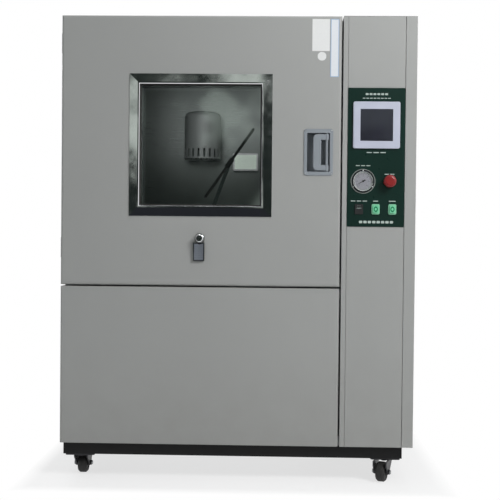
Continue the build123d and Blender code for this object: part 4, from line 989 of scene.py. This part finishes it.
# %% [markdown]
# The room has a soft pale world for fill, which the camera, mirrors and glass see as plain white. A large
# soft key lamp stands high at the right, so that the cabinet is brightest at its upper right corner. A
# weak fill at the left stays out of mirrors, and two lamps above and behind light the other sides. A
# small lamp just behind the window brightens the test space. Places are in metres and powers in watts.

# %% World and lamps
world = bpy.data.worlds.new("studio")
scene.world = world
world.use_nodes = True
nodes, links = world.node_tree.nodes, world.node_tree.links
nodes.clear()
path = nodes.new("ShaderNodeLightPath")
first_sum, second_sum = nodes.new("ShaderNodeMath"), nodes.new("ShaderNodeMath")
second_sum.use_clamp = True
links.new(path.outputs["Is Camera Ray"], first_sum.inputs[0])
links.new(path.outputs["Is Glossy Ray"], first_sum.inputs[1])
links.new(first_sum.outputs[0], second_sum.inputs[0])
links.new(path.outputs["Is Transmission Ray"], second_sum.inputs[1])
soft, plain = nodes.new("ShaderNodeBackground"), nodes.new("ShaderNodeBackground")
soft.inputs["Color"].default_value = (0.94, 0.97, 1.0, 1.0)
soft.inputs["Strength"].default_value = 0.31
plain.inputs["Color"].default_value = (1.0, 1.0, 1.0, 1.0)
plain.inputs["Strength"].default_value = 1.0
mix, world_output = nodes.new("ShaderNodeMixShader"), nodes.new("ShaderNodeOutputWorld")
links.new(second_sum.outputs[0], mix.inputs[0])
links.new(soft.outputs[0], mix.inputs[1])
links.new(plain.outputs[0], mix.inputs[2])
links.new(mix.outputs[0], world_output.inputs["Surface"])


def soft_lamp(name, place, target, width, height, watts, mirrored=True):
    """An area lamp that faces its target; one that isn't mirrored stays out of reflections."""
    data = bpy.data.lights.new(name, "AREA")
    data.shape = "RECTANGLE"
    data.size, data.size_y = width, height
    data.energy = watts
    lamp = bpy.data.objects.new(name, data)
    lamp.location = place
    lamp.rotation_euler = (Vector(target) - Vector(place)).to_track_quat("-Z", "Y").to_euler()
    lamp.visible_camera = False
    lamp.visible_glossy = mirrored
    scene.collection.objects.link(lamp)


soft_lamp("key", (1.9, -2.3, 2.5), (0.3, 0, 1.0), 1.2, 1.2, 62)
soft_lamp("fill", (-3.2, -3.0, 1.8), (0, 0, 0.7), 1.8, 1.8, 5, mirrored=False)
soft_lamp("top", (0.2, 0.4, 4.2), (0, 0, 0), 2.4, 2.4, 34)
soft_lamp("rear", (-1.8, 3.6, 2.4), (0, 0, 0.8), 2.0, 2.0, 70)
window_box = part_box("window_frame")
chamber_x, chamber_z = (window_box[0].x + window_box[1].x) / 2, window_box[1].z
soft_lamp("chamber", (chamber_x, -0.38, chamber_z), (chamber_x - 0.12, 0.3, chamber_z - 0.2), 0.6, 0.3, 0.6)

# %% [markdown]
# Polished steel and glass show what stands in front of them. A wide dark card with pale patches, like
# leaves against the sky, stands behind the camera, and a dark one lies on the floor in front of the
# cabinet. With them the surround reads as metal and the window isn't washed out. The cards are seen only
# in reflections.

# %% Dark cards for the reflections
def reflection_card(name, corners, dark, light, scale, threshold):
    """A glowing card that only reflections show; its noise turns light above the threshold."""
    mesh = bpy.data.meshes.new(name)
    build = bmesh.new()
    build.faces.new([build.verts.new(corner) for corner in corners])
    build.to_mesh(mesh)
    build.free()
    card = bpy.data.objects.new(name, mesh)
    scene.collection.objects.link(card)
    for ray in ("camera", "diffuse", "transmission", "shadow", "volume_scatter"):
        setattr(card, "visible_" + ray, False)
    finish = Finish(name, dark, 1.0)
    patches = finish.noise(scale, 3, 0.55)
    shade = finish.ramp(patches, (0.0, dark), (threshold, dark), (threshold + 0.05, light), (1.0, light))
    glow = finish.node("ShaderNodeEmission", values={"Color": shade, "Strength": 1.0})
    finish.tree.links.new(glow.socket, finish.tree.nodes["Material Output"].inputs["Surface"])
    mesh.materials.append(finish.material)


leaf_dark, leaf_light = as_linear(34, 40, 38), as_linear(196, 204, 196)
reflection_card("card_front", [(-14, -6.5, -0.5), (14, -6.5, -0.5), (14, -6.5, 13), (-14, -6.5, 13)],
                leaf_dark, leaf_light, 0.9, 0.5)
reflection_card("card_floor", [(-3, -5.5, 0.01), (3, -5.5, 0.01), (3, -1.1, 0.01), (-3, -1.1, 0.01)],
                as_linear(40, 42, 46), as_linear(150, 150, 150), 0.7, 0.66)
print("reflection cards set")

# %% [markdown]

# %% Import of json
import json
